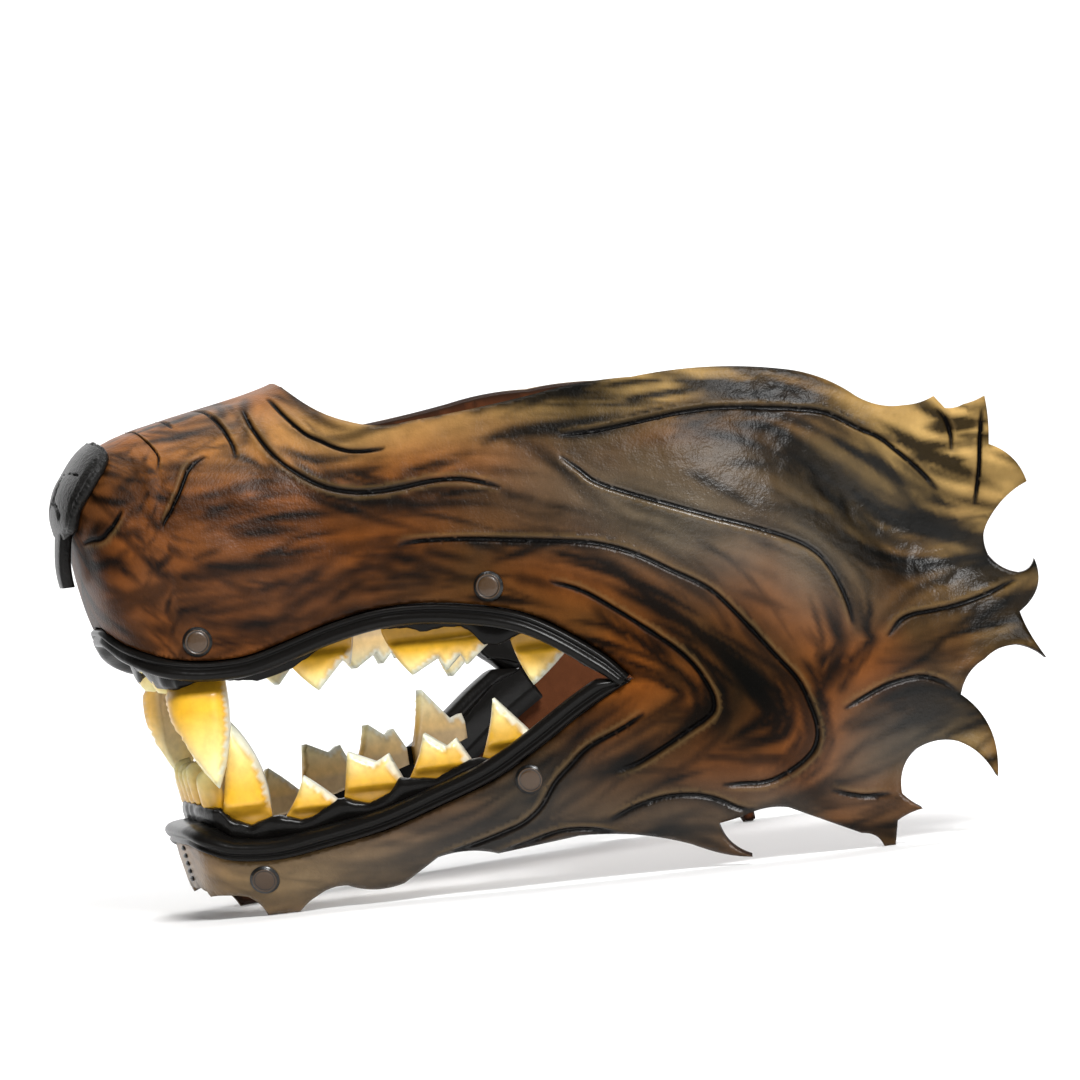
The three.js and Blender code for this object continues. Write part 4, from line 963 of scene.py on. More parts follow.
DYE_BROWN = from_screen(68, 46, 21)
DYE_RED = from_screen(115, 66, 34)
GLOW = from_screen(128, 70, 21)
GOLD_AND_PAINTED_LIGHT = from_screen(193, 157, 94)
BLACK = from_screen(4, 4, 3)
PAINTED_SHEEN_GREY = from_screen(94, 86, 70)
RAW_LEATHER = from_screen(81, 46, 27)
CUT_EDGE = from_screen(39, 24, 16)
CUT_LINE = from_screen(4, 3, 3)
LIP_WEAR_AND_HIGHLIGHT = from_screen(157, 126, 79)
# The corner of the mouth, where the cut edge is blackened too
MOUTH_CORNER = (0.605, 0.415)
CORNER_REACH = 9 * MM
# The red of the muzzle: where it starts to fade, how fast, and how full it is
RED_END = 0.42
RED_FADE = 0.16
RED_SHARE = 0.6
# How fully each layer of paint covers the one below, and how far fine noise mottles the black
CLOUD_SHARE = 0.22
CLOUD_RANGE = (-1, 1.5)
PAINTED_SHEEN_SHARE = 0.75
STROKE_COVER = 2.4
FINE_SHARE = 0.25
FINE_RANGE = (-0.5, 1.5)
DARK_MOTTLE = 0.2
FULLEST_BLACK = 0.95
CUT_COVER = 2.6
# How much fainter the strokes are on the painted sheen grey and on the red; how shiny a crease is
PAINTED_SHEEN_CALM = 0.5
RED_CALM = 0.2
CREASE_SHEEN = 0.5
# The soft painted shade round a cut line and the pale line of wear and painted highlight on the lip beside
# it: reach or place, width and share
SHADE_REACH = 2.2 * MM
SHADE_SHARE = 0.3
WEAR_AND_HIGHLIGHT_PLACE = 1.2 * MM
WEAR_AND_HIGHLIGHT_WIDTH = 0.4 * MM
WEAR_AND_HIGHLIGHT_SHARE = 0.16

fine, cloud = (look_up(grid, outer_flat) for grid in (fine_strokes, clouds))
stroked = look_up(stroke_grid, outer_flat, STROKE_CELL)
forward = np.clip((RED_END - side_places[:, 0]) / RED_FADE, 0, 1)
painted_sheen_cover = zone(painted_sheen_rows, side_places)
colour = mix(np.tile(DYE_BROWN, (outer_count, 1)), DYE_RED, forward * RED_SHARE)
clouded = CLOUD_SHARE * np.clip(cloud, *CLOUD_RANGE) * (1 - painted_sheen_cover)
glow_cover = np.clip(zone(glow_rows, side_places) + clouded, 0, 1)
colour = mix(colour, GLOW, glow_cover)
# Golden tan dye and painted light on the top rim and rear top
colour = mix(colour, GOLD_AND_PAINTED_LIGHT, zone(gold_and_painted_light_rows, side_places))
# Painted sheen and reflected light, as a lighter grey
colour = mix(colour, PAINTED_SHEEN_GREY, PAINTED_SHEEN_SHARE * painted_sheen_cover)
stroke_room = (1 - PAINTED_SHEEN_CALM * painted_sheen_cover) * (1 - RED_CALM * forward)
strokes = 1 - (1 - np.clip(stroked, 0, 1)) ** STROKE_COVER
strokes += FINE_SHARE * np.clip(fine, *FINE_RANGE)
colour = mix(colour, BLACK, np.clip(strokes * stroke_room, 0, FULLEST_BLACK))
# Black dye and painted shade from the dark zones
dye_and_shade_black = zone(dark_dye_and_shade_rows, side_places) * (1 + DARK_MOTTLE * fine)
colour = mix(colour, BLACK, np.clip(dye_and_shade_black, 0, FULLEST_BLACK))
shaded = np.exp(-((groove_gap / SHADE_REACH) ** 2)) * groove_taper
colour = mix(colour, BLACK, SHADE_SHARE * shaded)
# Wear and a painted highlight along the raised lip of each cut line
worn_and_highlit = np.exp(-(((groove_gap - WEAR_AND_HIGHLIGHT_PLACE) / WEAR_AND_HIGHLIGHT_WIDTH) ** 2)) * groove_taper
colour = mix(colour, LIP_WEAR_AND_HIGHLIGHT, WEAR_AND_HIGHLIGHT_SHARE * worn_and_highlit)
colour = mix(colour, CUT_LINE, np.clip(groove_cut * CUT_COVER, 0, 1))

half_colours = np.tile(RAW_LEATHER, (len(half_points), 1))
half_colours[:outer_count] = colour
half_colours[outer_count + inner_count :] = CUT_EDGE
half_colours[outer_count : outer_count + outline_count] = CUT_EDGE
by_corner = np.linalg.norm((side_places - MOUTH_CORNER) * [LENGTH, HEIGHT], axis=1) < CORNER_REACH
colour_at_corner = np.concatenate([by_corner, np.zeros(len(half_points) - outer_count, bool)])
half_colours[colour_at_corner & (np.arange(len(half_points)) < outline_count)] = BLACK
half_colours[half_centre & (np.arange(len(half_points)) >= outer_count)] = RAW_LEATHER
half_sheen = np.zeros(len(half_points))
sheen_cover = np.maximum(painted_sheen_cover, CREASE_SHEEN * zone(crease_rows, side_places))
half_sheen[:outer_count] = np.maximum(sheen_cover, zone(shine_rows, side_places))


def add_colours(made, name, colours):
    """A colour for each point, for a material to read."""
    layer = made.data.attributes.new(name, "FLOAT_COLOR", "POINT")
    layer.data.foreach_set("color", np.hstack([colours, np.ones((len(colours), 1))]).ravel())


def add_values(made, name, values):
    """A number for each point, for a material to read."""
    layer = made.data.attributes.new(name, "FLOAT", "POINT")
    layer.data.foreach_set("value", np.asarray(values, float))


add_colours(shell, "paint", half_colours[shell_source])
add_values(shell, "sheen", half_sheen[shell_source])


def new_material(name, **values):
    """A material and its node tree, with values set on the shader's own sockets."""
    material = bpy.data.materials.new(name)
    material.use_nodes = True
    shader = material.node_tree.nodes["Principled BSDF"]
    for socket, value in values.items():
        shader.inputs[socket.replace("_", " ")].default_value = value
    return material, material.node_tree.nodes, material.node_tree.links, shader


def add_node(nodes, kind, **settings):
    """A shader node with its sockets or settings filled in."""
    node = nodes.new("ShaderNode" + kind)
    for name, value in settings.items():
        if name in node.inputs:
            node.inputs[name].default_value = value
        else:
            setattr(node, name.lower(), value)
    return node


def add_grain(nodes, links, shader, scale, strength, distance):
    """Pebbled leather grain with finer pores, as a bump in the object's own coordinates."""
    place = add_node(nodes, "TexCoord")
    pebbles = add_node(nodes, "TexVoronoi", Scale=scale, Randomness=1.0)
    pores = add_node(nodes, "TexNoise", Scale=scale * 2.3, Detail=3.0)
    together = add_node(nodes, "Math", operation="MULTIPLY_ADD")
    together.inputs[1].default_value = 0.6
    bump = add_node(nodes, "Bump", Strength=strength, Distance=distance)
    links.new(place.outputs["Object"], pebbles.inputs["Vector"])
    links.new(place.outputs["Object"], pores.inputs["Vector"])
    links.new(pebbles.outputs["Distance"], together.inputs[0])
    links.new(pores.outputs[0], together.inputs[2])
    links.new(together.outputs[0], bump.inputs["Height"])
    links.new(bump.outputs["Normal"], shader.inputs["Normal"])
    return place


def add_range(nodes, links, share, low, high):
    """A socket that runs from low to high as a share from nought to one does."""
    mapped = add_node(nodes, "MapRange")
    mapped.inputs["To Min"].default_value = low
    mapped.inputs["To Max"].default_value = high
    links.new(share, mapped.inputs["Value"])
    return mapped.outputs[0]


def add_paint(nodes, links, shader, place, scale, detail, span):
    """The painted colours, made a little lighter and darker by fine noise."""
    paint = add_node(nodes, "Attribute", attribute_name="paint")
    mottle = add_node(nodes, "TexNoise", Scale=scale, Detail=detail)
    tint = add_node(nodes, "Mix", data_type="RGBA", blend_type="MULTIPLY")
    tint.inputs[0].default_value = 1.0
    links.new(place.outputs["Object"], mottle.inputs["Vector"])
    links.new(paint.outputs["Color"], tint.inputs[6])
    links.new(add_range(nodes, links, mottle.outputs[0], 1 - span, 1 + span), tint.inputs[7])
    links.new(tint.outputs[2], shader.inputs["Base Color"])


# Roughness and mirroring of the dull brown and of the varnished places
ROUGHNESS_RANGE = (0.42, 0.28)
MIRROR_RANGE = (0.03, 0.5)
painted, nodes, links, shader = new_material("painted_leather")
place = add_grain(nodes, links, shader, 900.0, 0.28, 0.0004)
add_paint(nodes, links, shader, place, scale=260.0, detail=4.0, span=0.28)
sheen = add_node(nodes, "Attribute", attribute_name="sheen").outputs["Fac"]
for socket, ends in (("Roughness", ROUGHNESS_RANGE), ("Specular IOR Level", MIRROR_RANGE)):
    links.new(add_range(nodes, links, sheen, *ends), shader.inputs[socket])
shell.data.materials.append(painted)
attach(shell, "root")
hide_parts("mask_shell")


# Lips
# Two folded and rolled bands of black glossed leather, one along each edge of the mouth. Each has two
# ridges in front of the shell's edge and a tongue that is glued and riveted behind it.
LAYER_GAP = 0.00046
LIP_LEATHER = 0.001
LIP_REACH = 0.005
LIP_TONGUE = 0.0084
TONGUE_EASE = 0.00095
LIP_STEP = 1.3 * MM
SEARCH_STEP = 0.2 * MM
LIP_NARROWEST = 0.9 * MM
# The ridges shrink with the band's width, to this share at least
LOWEST_RIDGE = 0.3
# At the corner of the mouth the upper lip widens and folds over the end of the lower one
LIP_CLOSING = 0.2 * MM
FOLD_ROOM = 5 * MM
FOLD_REACH = 3.4 * MM
FOLD_RISE = 1.3 * MM
FOLD_START = 0.1
OPEN_FRONT = 0.11
lip_depth = SHELL_LEATHER + LAYER_GAP
lip_back = lip_depth + LIP_LEATHER
# Reach into the mouth as a share of the band's width, and depth in metres; the tongue's reach is negative
lip_profile = (
    (-1.0, lip_depth + TONGUE_EASE), (-0.5, lip_depth + TONGUE_EASE / 2), (-0.1, lip_depth),
    (0.075, lip_depth - 0.0006), (0.07, 0.0008), (0.075, -0.0004), (0.13, -0.00105), (0.22, -0.00125),
    (0.31, -0.00095), (0.37, -0.00045), (0.43, -0.00095), (0.55, -0.0016), (0.7, -0.0018),
    (0.84, -0.0015), (0.95, -0.0007), (1.0, 0.0006), (0.99, 0.0024), (0.94, lip_back),
    (0.4, lip_back), (-0.5, lip_back + TONGUE_EASE / 2), (-1.0, lip_back + TONGUE_EASE),
)


# Rounds of pulling points onto the face, and the longest pull in one of them
PULL_ROUNDS = 12
LONGEST_PULL = 3 * MM


def on_surface(points):
    """Points pulled onto the moulded face along its slope."""
    found = np.array(points, float)
    for _ in range(PULL_ROUNDS):
        gradient = surface_gradient(found)
        size = np.maximum((gradient**2).sum(axis=1), 1e-3)
        pull = -gradient * (surface_error(found) / size)[:, None]
        length = np.linalg.norm(pull, axis=1, keepdims=True)
        found += pull * np.minimum(1, LONGEST_PULL / np.maximum(length, 1e-9))
    return found


mouth_paths = {}
for jaw, curve in mouth_side.items():
    path_y, path_z = (curve[:, 0] - 0.5) * LENGTH, curve[:, 1] * HEIGHT
    path = np.stack([outer_x(path_y, path_z), path_y, path_z], axis=1)
    path = np.vstack([path[0] * [0, 1, 1], path])
    mouth_paths[jaw] = (path, lengths_along(path))


# How far to both sides of a place the way of the mouth's edge is measured
WAY_REACH = 2 * MM


def path_point(jaw, distance):
    """Points of the mouth's edge at distances from the middle plane, negative on the -X side."""
    path, lengths = mouth_paths[jaw]
    away = np.clip(np.abs(distance), 0, lengths[-1])
    point = np.stack([np.interp(away, lengths, path[:, k]) for k in range(3)], axis=-1)
    point[..., 0] *= np.where(distance < 0, -1, 1)
    return point


def stations(jaw, distance):
    """Places on the mouth's edge and the directions from them into the mouth."""
    total = mouth_paths[jaw][1][-1]
    inner = np.clip(distance, WAY_REACH - total, total - WAY_REACH)
    along = path_point(jaw, inner + WAY_REACH) - path_point(jaw, inner - WAY_REACH)
    place = path_point(jaw, distance)
    inward = np.cross(along, surface_normal(place))
    inward /= np.linalg.norm(inward, axis=1, keepdims=True)
    return place, inward if jaw == "upper" else -inward


def distance_to(jaw, along):
    """Distance along the mouth's edge from the middle plane to a share of the length."""
    path, lengths = mouth_paths[jaw]
    return np.interp((along - 0.5) * LENGTH, path[1:, 1], lengths[1:])


def room_at(places):
    """Room between the mouth's edge and the middle of its opening."""
    along = places[:, 1] / LENGTH + 0.5
    heights = [np.interp(along, mouth_side[jaw][:, 0], mouth_side[jaw][:, 1]) for jaw in ("upper", "lower")]
    room = np.maximum((heights[0] - heights[1]) * HEIGHT / 2 - LAYER_GAP, 0)
    return np.where(along < OPEN_FRONT, 1.0, room)


def band_points(station, reach, depth):
    """Points at reaches into the mouth along the moulded face, at depths below it, one or many."""
    place, inward = station
    face = on_surface(place + inward * np.reshape(reach, (-1, 1)))
    return face - surface_normal(face) * np.reshape(depth, (-1, 1))


def band_places(jaw, step, narrowest):
    """Even distances along the mouth's edge from corner to corner, as far as the opening has room."""
    total = mouth_paths[jaw][1][-1]
    fine = np.arange(0, total, SEARCH_STEP)
    roomy = fine[room_at(path_point(jaw, fine)) > narrowest]
    count = int(roomy[-1] / step)
    return np.linspace(-roomy[-1], roomy[-1], 2 * count + 1)


def tube(rings):
    """Faces that join rings of points one after another, with a fan at each end."""
    count, size = rings.shape[:2]
    points = np.vstack([rings.reshape(-1, 3), rings[0].mean(axis=0), rings[-1].mean(axis=0)])
    faces = []
    step = np.arange(size)
    onward = (step + 1) % size
    for ring in range(count - 1):
        a, b = ring * size + step, ring * size + onward
        faces += [np.stack([a, b, b + size], axis=1), np.stack([a, b + size, a + size], axis=1)]
    first, last = len(points) - 2, len(points) - 1
    base = (count - 1) * size
    faces.append(np.stack([onward, step, np.full(size, first)], axis=1))
    faces.append(np.stack([base + step, base + onward, np.full(size, last)], axis=1))
    return points, np.vstack(faces)


def face_outwards(made):
    """Turns every face of a closed body outwards."""
    body = bmesh.new()
    body.from_mesh(made.data)
    bmesh.ops.recalc_face_normals(body, faces=body.faces)
    body.to_mesh(made.data)
    body.free()


black, nodes, links, shader = new_material(
    "black_leather", Base_Color=(0.005, 0.0045, 0.004, 1), Roughness=0.3, Coat_Weight=0.08,
    Specular_IOR_Level=0.1,
)
shader.inputs["Coat Roughness"].default_value = 0.12
add_grain(nodes, links, shader, 620.0, 0.16, 0.0003)

for jaw in ("upper", "lower"):
    distances = band_places(jaw, LIP_STEP, LIP_CLOSING)
    station = stations(jaw, distances)
    room = room_at(station[0])
    fold = np.clip(1 - room / FOLD_ROOM, 0, 1) * (jaw == "upper")
    width = np.minimum(LIP_REACH, room + FOLD_REACH * fold)
    rings = []
    for share, depth in lip_profile:
        reach = share * (width if share > 0 else LIP_TONGUE)
        thin = np.clip(width / LIP_REACH, LOWEST_RIDGE, 1) if depth < 0 else 1
        lifted = FOLD_RISE * fold * (share > FOLD_START)
        rings.append(band_points(station, reach, depth * thin - lifted))
    lip = make_object(jaw + "_lip", *tube(np.stack(rings, axis=1)))
    face_outwards(lip)
    lip.data.materials.append(black)
    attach(lip, "root")
    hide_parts(jaw + "_lip")


# Chin stitches
# Waxed black thread that laces the seam down the front of the chin, a row of short raised stitches.
STITCH_COUNT = 7
STITCH_HEIGHTS = (0.168, 0.078)
STITCH_LENGTH = 0.0046
STITCH_THICKNESS = 0.0013
STITCH_TILT = 0.16
STITCH_SEGMENTS = 16
STITCH_RINGS = 10
STITCH_SEED = 5
stitch_up = np.linspace(*STITCH_HEIGHTS, STITCH_COUNT)
stitch_y = (centre_along(stitch_up) - 0.5) * LENGTH
stitch_places = np.stack([np.zeros(STITCH_COUNT), stitch_y, stitch_up * HEIGHT], axis=1)
stitch_facing = surface_normal(stitch_places)
seam = bpy.data.objects.new("seam", bpy.data.meshes.new("seam"))
seam.data.from_pydata(stitch_places.tolist(), [], [])
facing = seam.data.attributes.new("facing", "FLOAT_VECTOR", "POINT")
facing.data.foreach_set("vector", stitch_facing.ravel())
scene.collection.objects.link(seam)

tree = bpy.data.node_groups.new("stitches", "GeometryNodeTree")
tree.interface.new_socket("Geometry", in_out="INPUT", socket_type="NodeSocketGeometry")
tree_values = {
    "Stitch Length": ("NodeSocketFloat", STITCH_LENGTH),
    "Stitch Thickness": ("NodeSocketFloat", STITCH_THICKNESS),
    "Seed": ("NodeSocketInt", STITCH_SEED),
}
identifiers = {}
for value_name, (kind, value) in tree_values.items():
    socket = tree.interface.new_socket(value_name, in_out="INPUT", socket_type=kind)
    identifiers[value_name] = socket.identifier
tree.interface.new_socket("Geometry", in_out="OUTPUT", socket_type="NodeSocketGeometry")
taken = tree.nodes.new("NodeGroupInput")
given = tree.nodes.new("NodeGroupOutput")
ball = tree.nodes.new("GeometryNodeMeshUVSphere")
ball.inputs["Segments"].default_value = STITCH_SEGMENTS
ball.inputs["Rings"].default_value = STITCH_RINGS
ball.inputs["Radius"].default_value = 0.5
size = tree.nodes.new("ShaderNodeCombineXYZ")
outward = tree.nodes.new("GeometryNodeInputNamedAttribute")
outward.data_type = "FLOAT_VECTOR"
outward.inputs["Name"].default_value = "facing"
upright = tree.nodes.new("FunctionNodeAlignRotationToVector")
upright.axis = "Z"
tilt = tree.nodes.new("FunctionNodeRandomValue")
tilt.data_type = "FLOAT"
tilt.inputs[2].default_value = -STITCH_TILT
tilt.inputs[3].default_value = STITCH_TILT
swing = tree.nodes.new("FunctionNodeAxisAngleToRotation")
turned = tree.nodes.new("FunctionNodeRotateRotation")
turned.rotation_space = "LOCAL"
copies = tree.nodes.new("GeometryNodeInstanceOnPoints")
real = tree.nodes.new("GeometryNodeRealizeInstances")
dressed = tree.nodes.new("GeometryNodeSetMaterial")
dressed.inputs["Material"].default_value = black
smooth = tree.nodes.new("GeometryNodeSetShadeSmooth")
join = tree.links.new
join(taken.outputs["Geometry"], copies.inputs["Points"])
join(taken.outputs["Stitch Length"], size.inputs["X"])
join(taken.outputs["Stitch Thickness"], size.inputs["Y"])
join(taken.outputs["Stitch Thickness"], size.inputs["Z"])
join(taken.outputs["Seed"], tilt.inputs["Seed"])
join(size.outputs[0], copies.inputs["Scale"])
join(ball.outputs["Mesh"], copies.inputs["Instance"])
join(outward.outputs[0], upright.inputs["Vector"])
join(tilt.outputs[1], swing.inputs["Angle"])
join(upright.outputs[0], turned.inputs["Rotation"])
join(swing.outputs[0], turned.inputs["Rotate By"])
join(turned.outputs[0], copies.inputs["Rotation"])
join(copies.outputs[0], real.inputs[0])
join(real.outputs[0], smooth.inputs["Geometry"])
join(smooth.outputs[0], dressed.inputs["Geometry"])
join(dressed.outputs[0], given.inputs["Geometry"])
modifier = seam.modifiers.new("stitches", "NODES")
modifier.node_group = tree
for value_name, (_, value) in tree_values.items():
    modifier[identifiers[value_name]] = value
bpy.context.view_layer.update()
stitched = bpy.data.meshes.new_from_object(seam.evaluated_get(bpy.context.evaluated_depsgraph_get()))
seam.modifiers.remove(modifier)
bpy.data.objects.remove(seam)
stitches = bpy.data.objects.new("chin_stitches", stitched)
scene.collection.objects.link(stitches)
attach(stitches, "root")


# Gums
# Thin black glossed leather behind the lips, trimmed in scallops round the foot of every tooth and
# pressed down over the teeth's roots.
GUM_LEATHER = 0.0011
GUM_TONGUE = 0.0084
GUM_REACH = 0.014
GUM_STEP = 0.9 * MM
GUM_LEAST = 1 * MM
GUM_SEARCH_STEP = 0.25 * MM
# The swelling before the trimmed edge: height, and the shares of the reach where it starts and that
# it takes up
GUM_SWELL = 0.0012
SWELL_START = 0.3
SWELL_RUN = 0.85
# Folds across the gum: depth, and the lengths of the two waves they are made of
GUM_FOLD = 0.25 * MM
FOLD_LENGTH = 1.7 * MM
FOLD_DRIFT = 5.3 * MM
gum_depth = lip_back + LAYER_GAP
gum_edges = {
    "upper": (
        (0, 0.56), (0.045, 0.508), (0.072, 0.462), (0.1, 0.448), (0.124, 0.462), (0.152, 0.455),
        (0.186, 0.447), (0.22, 0.462), (0.254, 0.495), (0.290, 0.514), (0.309, 0.522), (0.318, 0.516),
        (0.343, 0.514), (0.357, 0.502), (0.378, 0.507), (0.396, 0.505), (0.407, 0.490), (0.416, 0.467),
        (0.430, 0.462), (0.443, 0.471), (0.454, 0.480), (0.471, 0.469), (0.494, 0.442), (0.513, 0.407),
        (0.521, 0.391), (0.56, 0.372),
    ),
    "lower": (
        (0.06, 0.25), (0.094, 0.247), (0.101, 0.240), (0.112, 0.225), (0.122, 0.214), (0.130, 0.212),
        (0.139, 0.192), (0.160, 0.173), (0.182, 0.186), (0.193, 0.186), (0.213, 0.172), (0.227, 0.177),
        (0.253, 0.204), (0.260, 0.205), (0.283, 0.189), (0.307, 0.206), (0.317, 0.231), (0.326, 0.229),
        (0.354, 0.223), (0.388, 0.252), (0.399, 0.254), (0.417, 0.244), (0.441, 0.258), (0.468, 0.283),
        (0.515, 0.347), (0.56, 0.372),
    ),
}
gum_shares = (-1, -0.5, 0, 0.3, 0.6, 0.8, 0.9, 1)


def gum_reach(jaw, station):
    """How far the gum reaches into the mouth, up to its trimmed edge seen from the side."""
    edge = np.array(gum_edges[jaw])
    found = np.full(len(station[0]), GUM_REACH)
    settled = np.zeros(len(found), bool)
    for reach in np.arange(GUM_LEAST / MM, GUM_REACH / MM, GUM_SEARCH_STEP / MM) * MM:
        along, up = seen_from_side(band_points(station, reach, gum_depth)).T
        limit = np.interp(along, edge[:, 0], edge[:, 1])
        past = ((up <= limit) if jaw == "upper" else (up >= limit)) & ~settled
        found[past] = reach
        settled |= past
    return np.minimum(found, np.maximum(room_at(station[0]), LIP_NARROWEST))


for jaw in ("upper", "lower"):
    distances = band_places(jaw, GUM_STEP, LIP_NARROWEST)
    station = stations(jaw, distances)
    width = gum_reach(jaw, station)
    front, back = [], []
    for share in gum_shares:
        reach = share * (width if share > 0 else GUM_TONGUE)
        ease = TONGUE_EASE * max(-share, 0)
        swell = GUM_SWELL * math.sin(math.pi * min(max((share - SWELL_START) / SWELL_RUN, 0), 1))
        folds = GUM_FOLD * np.sin(distances / FOLD_LENGTH + 2 * np.sin(distances / FOLD_DRIFT))
        front_depth = gum_depth + ease - swell - folds * (share > SWELL_START) * (share < 1)
        front.append(band_points(station, reach, front_depth))
        back.append(band_points(station, reach, gum_depth + ease + GUM_LEATHER))
    gum = make_object(jaw + "_gum", *tube(np.stack(front + back[::-1], axis=1)))
    face_outwards(gum)
    gum.data.materials.append(black)
    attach(gum, "root")
    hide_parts(jaw + "_gum")


# Teeth
# Stout leather cut to points, carved into a dome on the outside and set behind the gums. They are
# stained yellow at the gum and pale at the points, with the bare cut left white on the rear slopes.
TOOTH_LEATHER = 0.0025
ROOT_LENGTH = 0.0042
TOOTH_STEP = 0.8 * MM
LEAN_GROWTH = 1.2
tooth_depth = gum_depth + GUM_LEATHER + LAYER_GAP
tooth_columns = ("jaw", "name", "front", "rear", "tip", "front_bow", "rear_bow", "lean", "dome", "cusps")
tooth_rows = (
    ("upper", "canine", (0.094, 0.46), (0.15, 0.458), (0.128, 0.254), 0.1, 0.07, 4.6, 3.4, ()),
    ("upper", "premolar", (0.22, 0.467), (0.286, 0.507), (0.246, 0.414), 0.03, 0.02, 0.8, 1.5,
        ((0.274, 0.466), (0.28, 0.455))),
    ("upper", "carnassial", (0.317, 0.508), (0.419, 0.464), (0.342, 0.423), 0.05, 0.0, 0.8, 1.5,
        ((0.37, 0.45), (0.376, 0.425), (0.392, 0.452), (0.397, 0.431))),
    ("upper", "molar", (0.444, 0.47), (0.497, 0.434), (0.462, 0.379), 0.04, 0.02, 0.6, 1.5, ()),
    ("lower", "canine", (0.134, 0.212), (0.184, 0.186), (0.147, 0.38), -0.02, 0.1, 0.0, 3.2, ()),
    ("lower", "first_premolar", (0.198, 0.181), (0.253, 0.202), (0.22, 0.255), -0.04, 0.02, 0.5, 1.6, ()),
    ("lower", "second_premolar", (0.261, 0.204), (0.32, 0.229), (0.268, 0.291), 0.0, 0.0, 0.5, 1.6,
        ((0.295, 0.266), (0.308, 0.279))),
    ("lower", "third_premolar", (0.328, 0.227), (0.39, 0.251), (0.346, 0.31), -0.04, 0.0, 0.5, 1.6,
        ((0.367, 0.281), (0.377, 0.294))),
    ("lower", "molar", (0.403, 0.251), (0.468, 0.285), (0.419, 0.362), -0.03, 0.0, 0.5, 1.6,
        ((0.451, 0.294), (0.465, 0.303))),
)
STAIN = from_screen(223, 169, 37)
PALE = from_screen(243, 231, 165)
BARE_CUT = from_screen(203, 210, 203)
TOOTH_SHADE = from_screen(119, 74, 23)


def fill_evenly(loop, step):
    """Places and triangles that fill a closed flat loop with triangles of about one size."""
    return fill_loop(loop, honeycomb(loop, step, step / 3), step / 2)


def plate(front, back, faces, rim):
    """A closed body from a front and a back of the same triangles; the first places are the rim."""
    count = len(front)
    loop = np.arange(rim)
    onward = (loop + 1) % rim
    strips = [
        np.stack([loop, onward, onward + count], axis=1),
        np.stack([loop, onward + count, loop + count], axis=1),
    ]
    return np.vstack([front, back]), np.vstack([faces, faces[:, ::-1] + count, *strips])


# Rounds of the search for such places, and the share of the error that each takes off
LAYER_ROUNDS = 40
LAYER_PULL = 0.3


def over_layer(along, up, depth):
    """Places of the moulded face over points of a deeper layer that are seen from the side."""
    y, z = (along - 0.5) * LENGTH, up * HEIGHT
    over = np.stack([outer_x(y, z), y, z], axis=1)
    for _ in range(LAYER_ROUNDS):
        normal = surface_normal(over)
        over[:, 1] += LAYER_PULL * (y + depth * normal[:, 1] - over[:, 1])
        over[:, 2] += LAYER_PULL * (z + depth * normal[:, 2] - over[:, 2])
        over[:, 0] = outer_x(over[:, 1], over[:, 2])
    return over


def gap_to_line(places, line):
    """Distance of flat places from a line of many short stretches."""
    return np.linalg.norm(places[:, None] - line[None], axis=2).min(axis=1)


# Where the stain turns pale, from the foot to the point; how far and how deep the foot is darkened with
# painted shadow under the gum
PALE_FROM = 0.25
PALE_RUN = 0.65
FOOT_REACH = 0.1
FOOT_SHADE = 0.45
# The bare cut along the rear slope, and the shaded line that borders it
CUT_WIDTH = 0.75 * MM
CUT_SHARE = 0.7
BORDER_PLACE = 1.1 * MM
BORDER_WIDTH = 0.3 * MM
BORDER_SHARE = 0.35


def tooth_colours(flat, share, rear_edge):
    """Colours of a tooth's places by their share of its height and their gap to the rear edge."""
    paleness = np.clip((share - PALE_FROM) / PALE_RUN, 0, 1) ** 1.3
    colours = mix(np.tile(STAIN, (len(flat), 1)), PALE, paleness)
    colours = mix(colours, TOOTH_SHADE, FOOT_SHADE * np.exp(-((np.maximum(share, 0) / FOOT_REACH) ** 2)))
    if len(rear_edge):
        gap = gap_to_line(flat, rear_edge)
        beside_cut = np.exp(-(((gap - BORDER_PLACE) / BORDER_WIDTH) ** 2)) * (share > 0.05)
        colours = mix(colours, TOOTH_SHADE, BORDER_SHARE * beside_cut)
        colours = mix(colours, BARE_CUT, CUT_SHARE * (gap < CUT_WIDTH) * np.clip(share * 6, 0, 1))
    return colours


# How far a dome's edge is rounded, plus a share of the dome's height; how much paler a tooth's back is
DOME_ROUND = 2.2 * MM
DOME_ROUND_SHARE = 0.5
BACK_PALENESS = 0.3


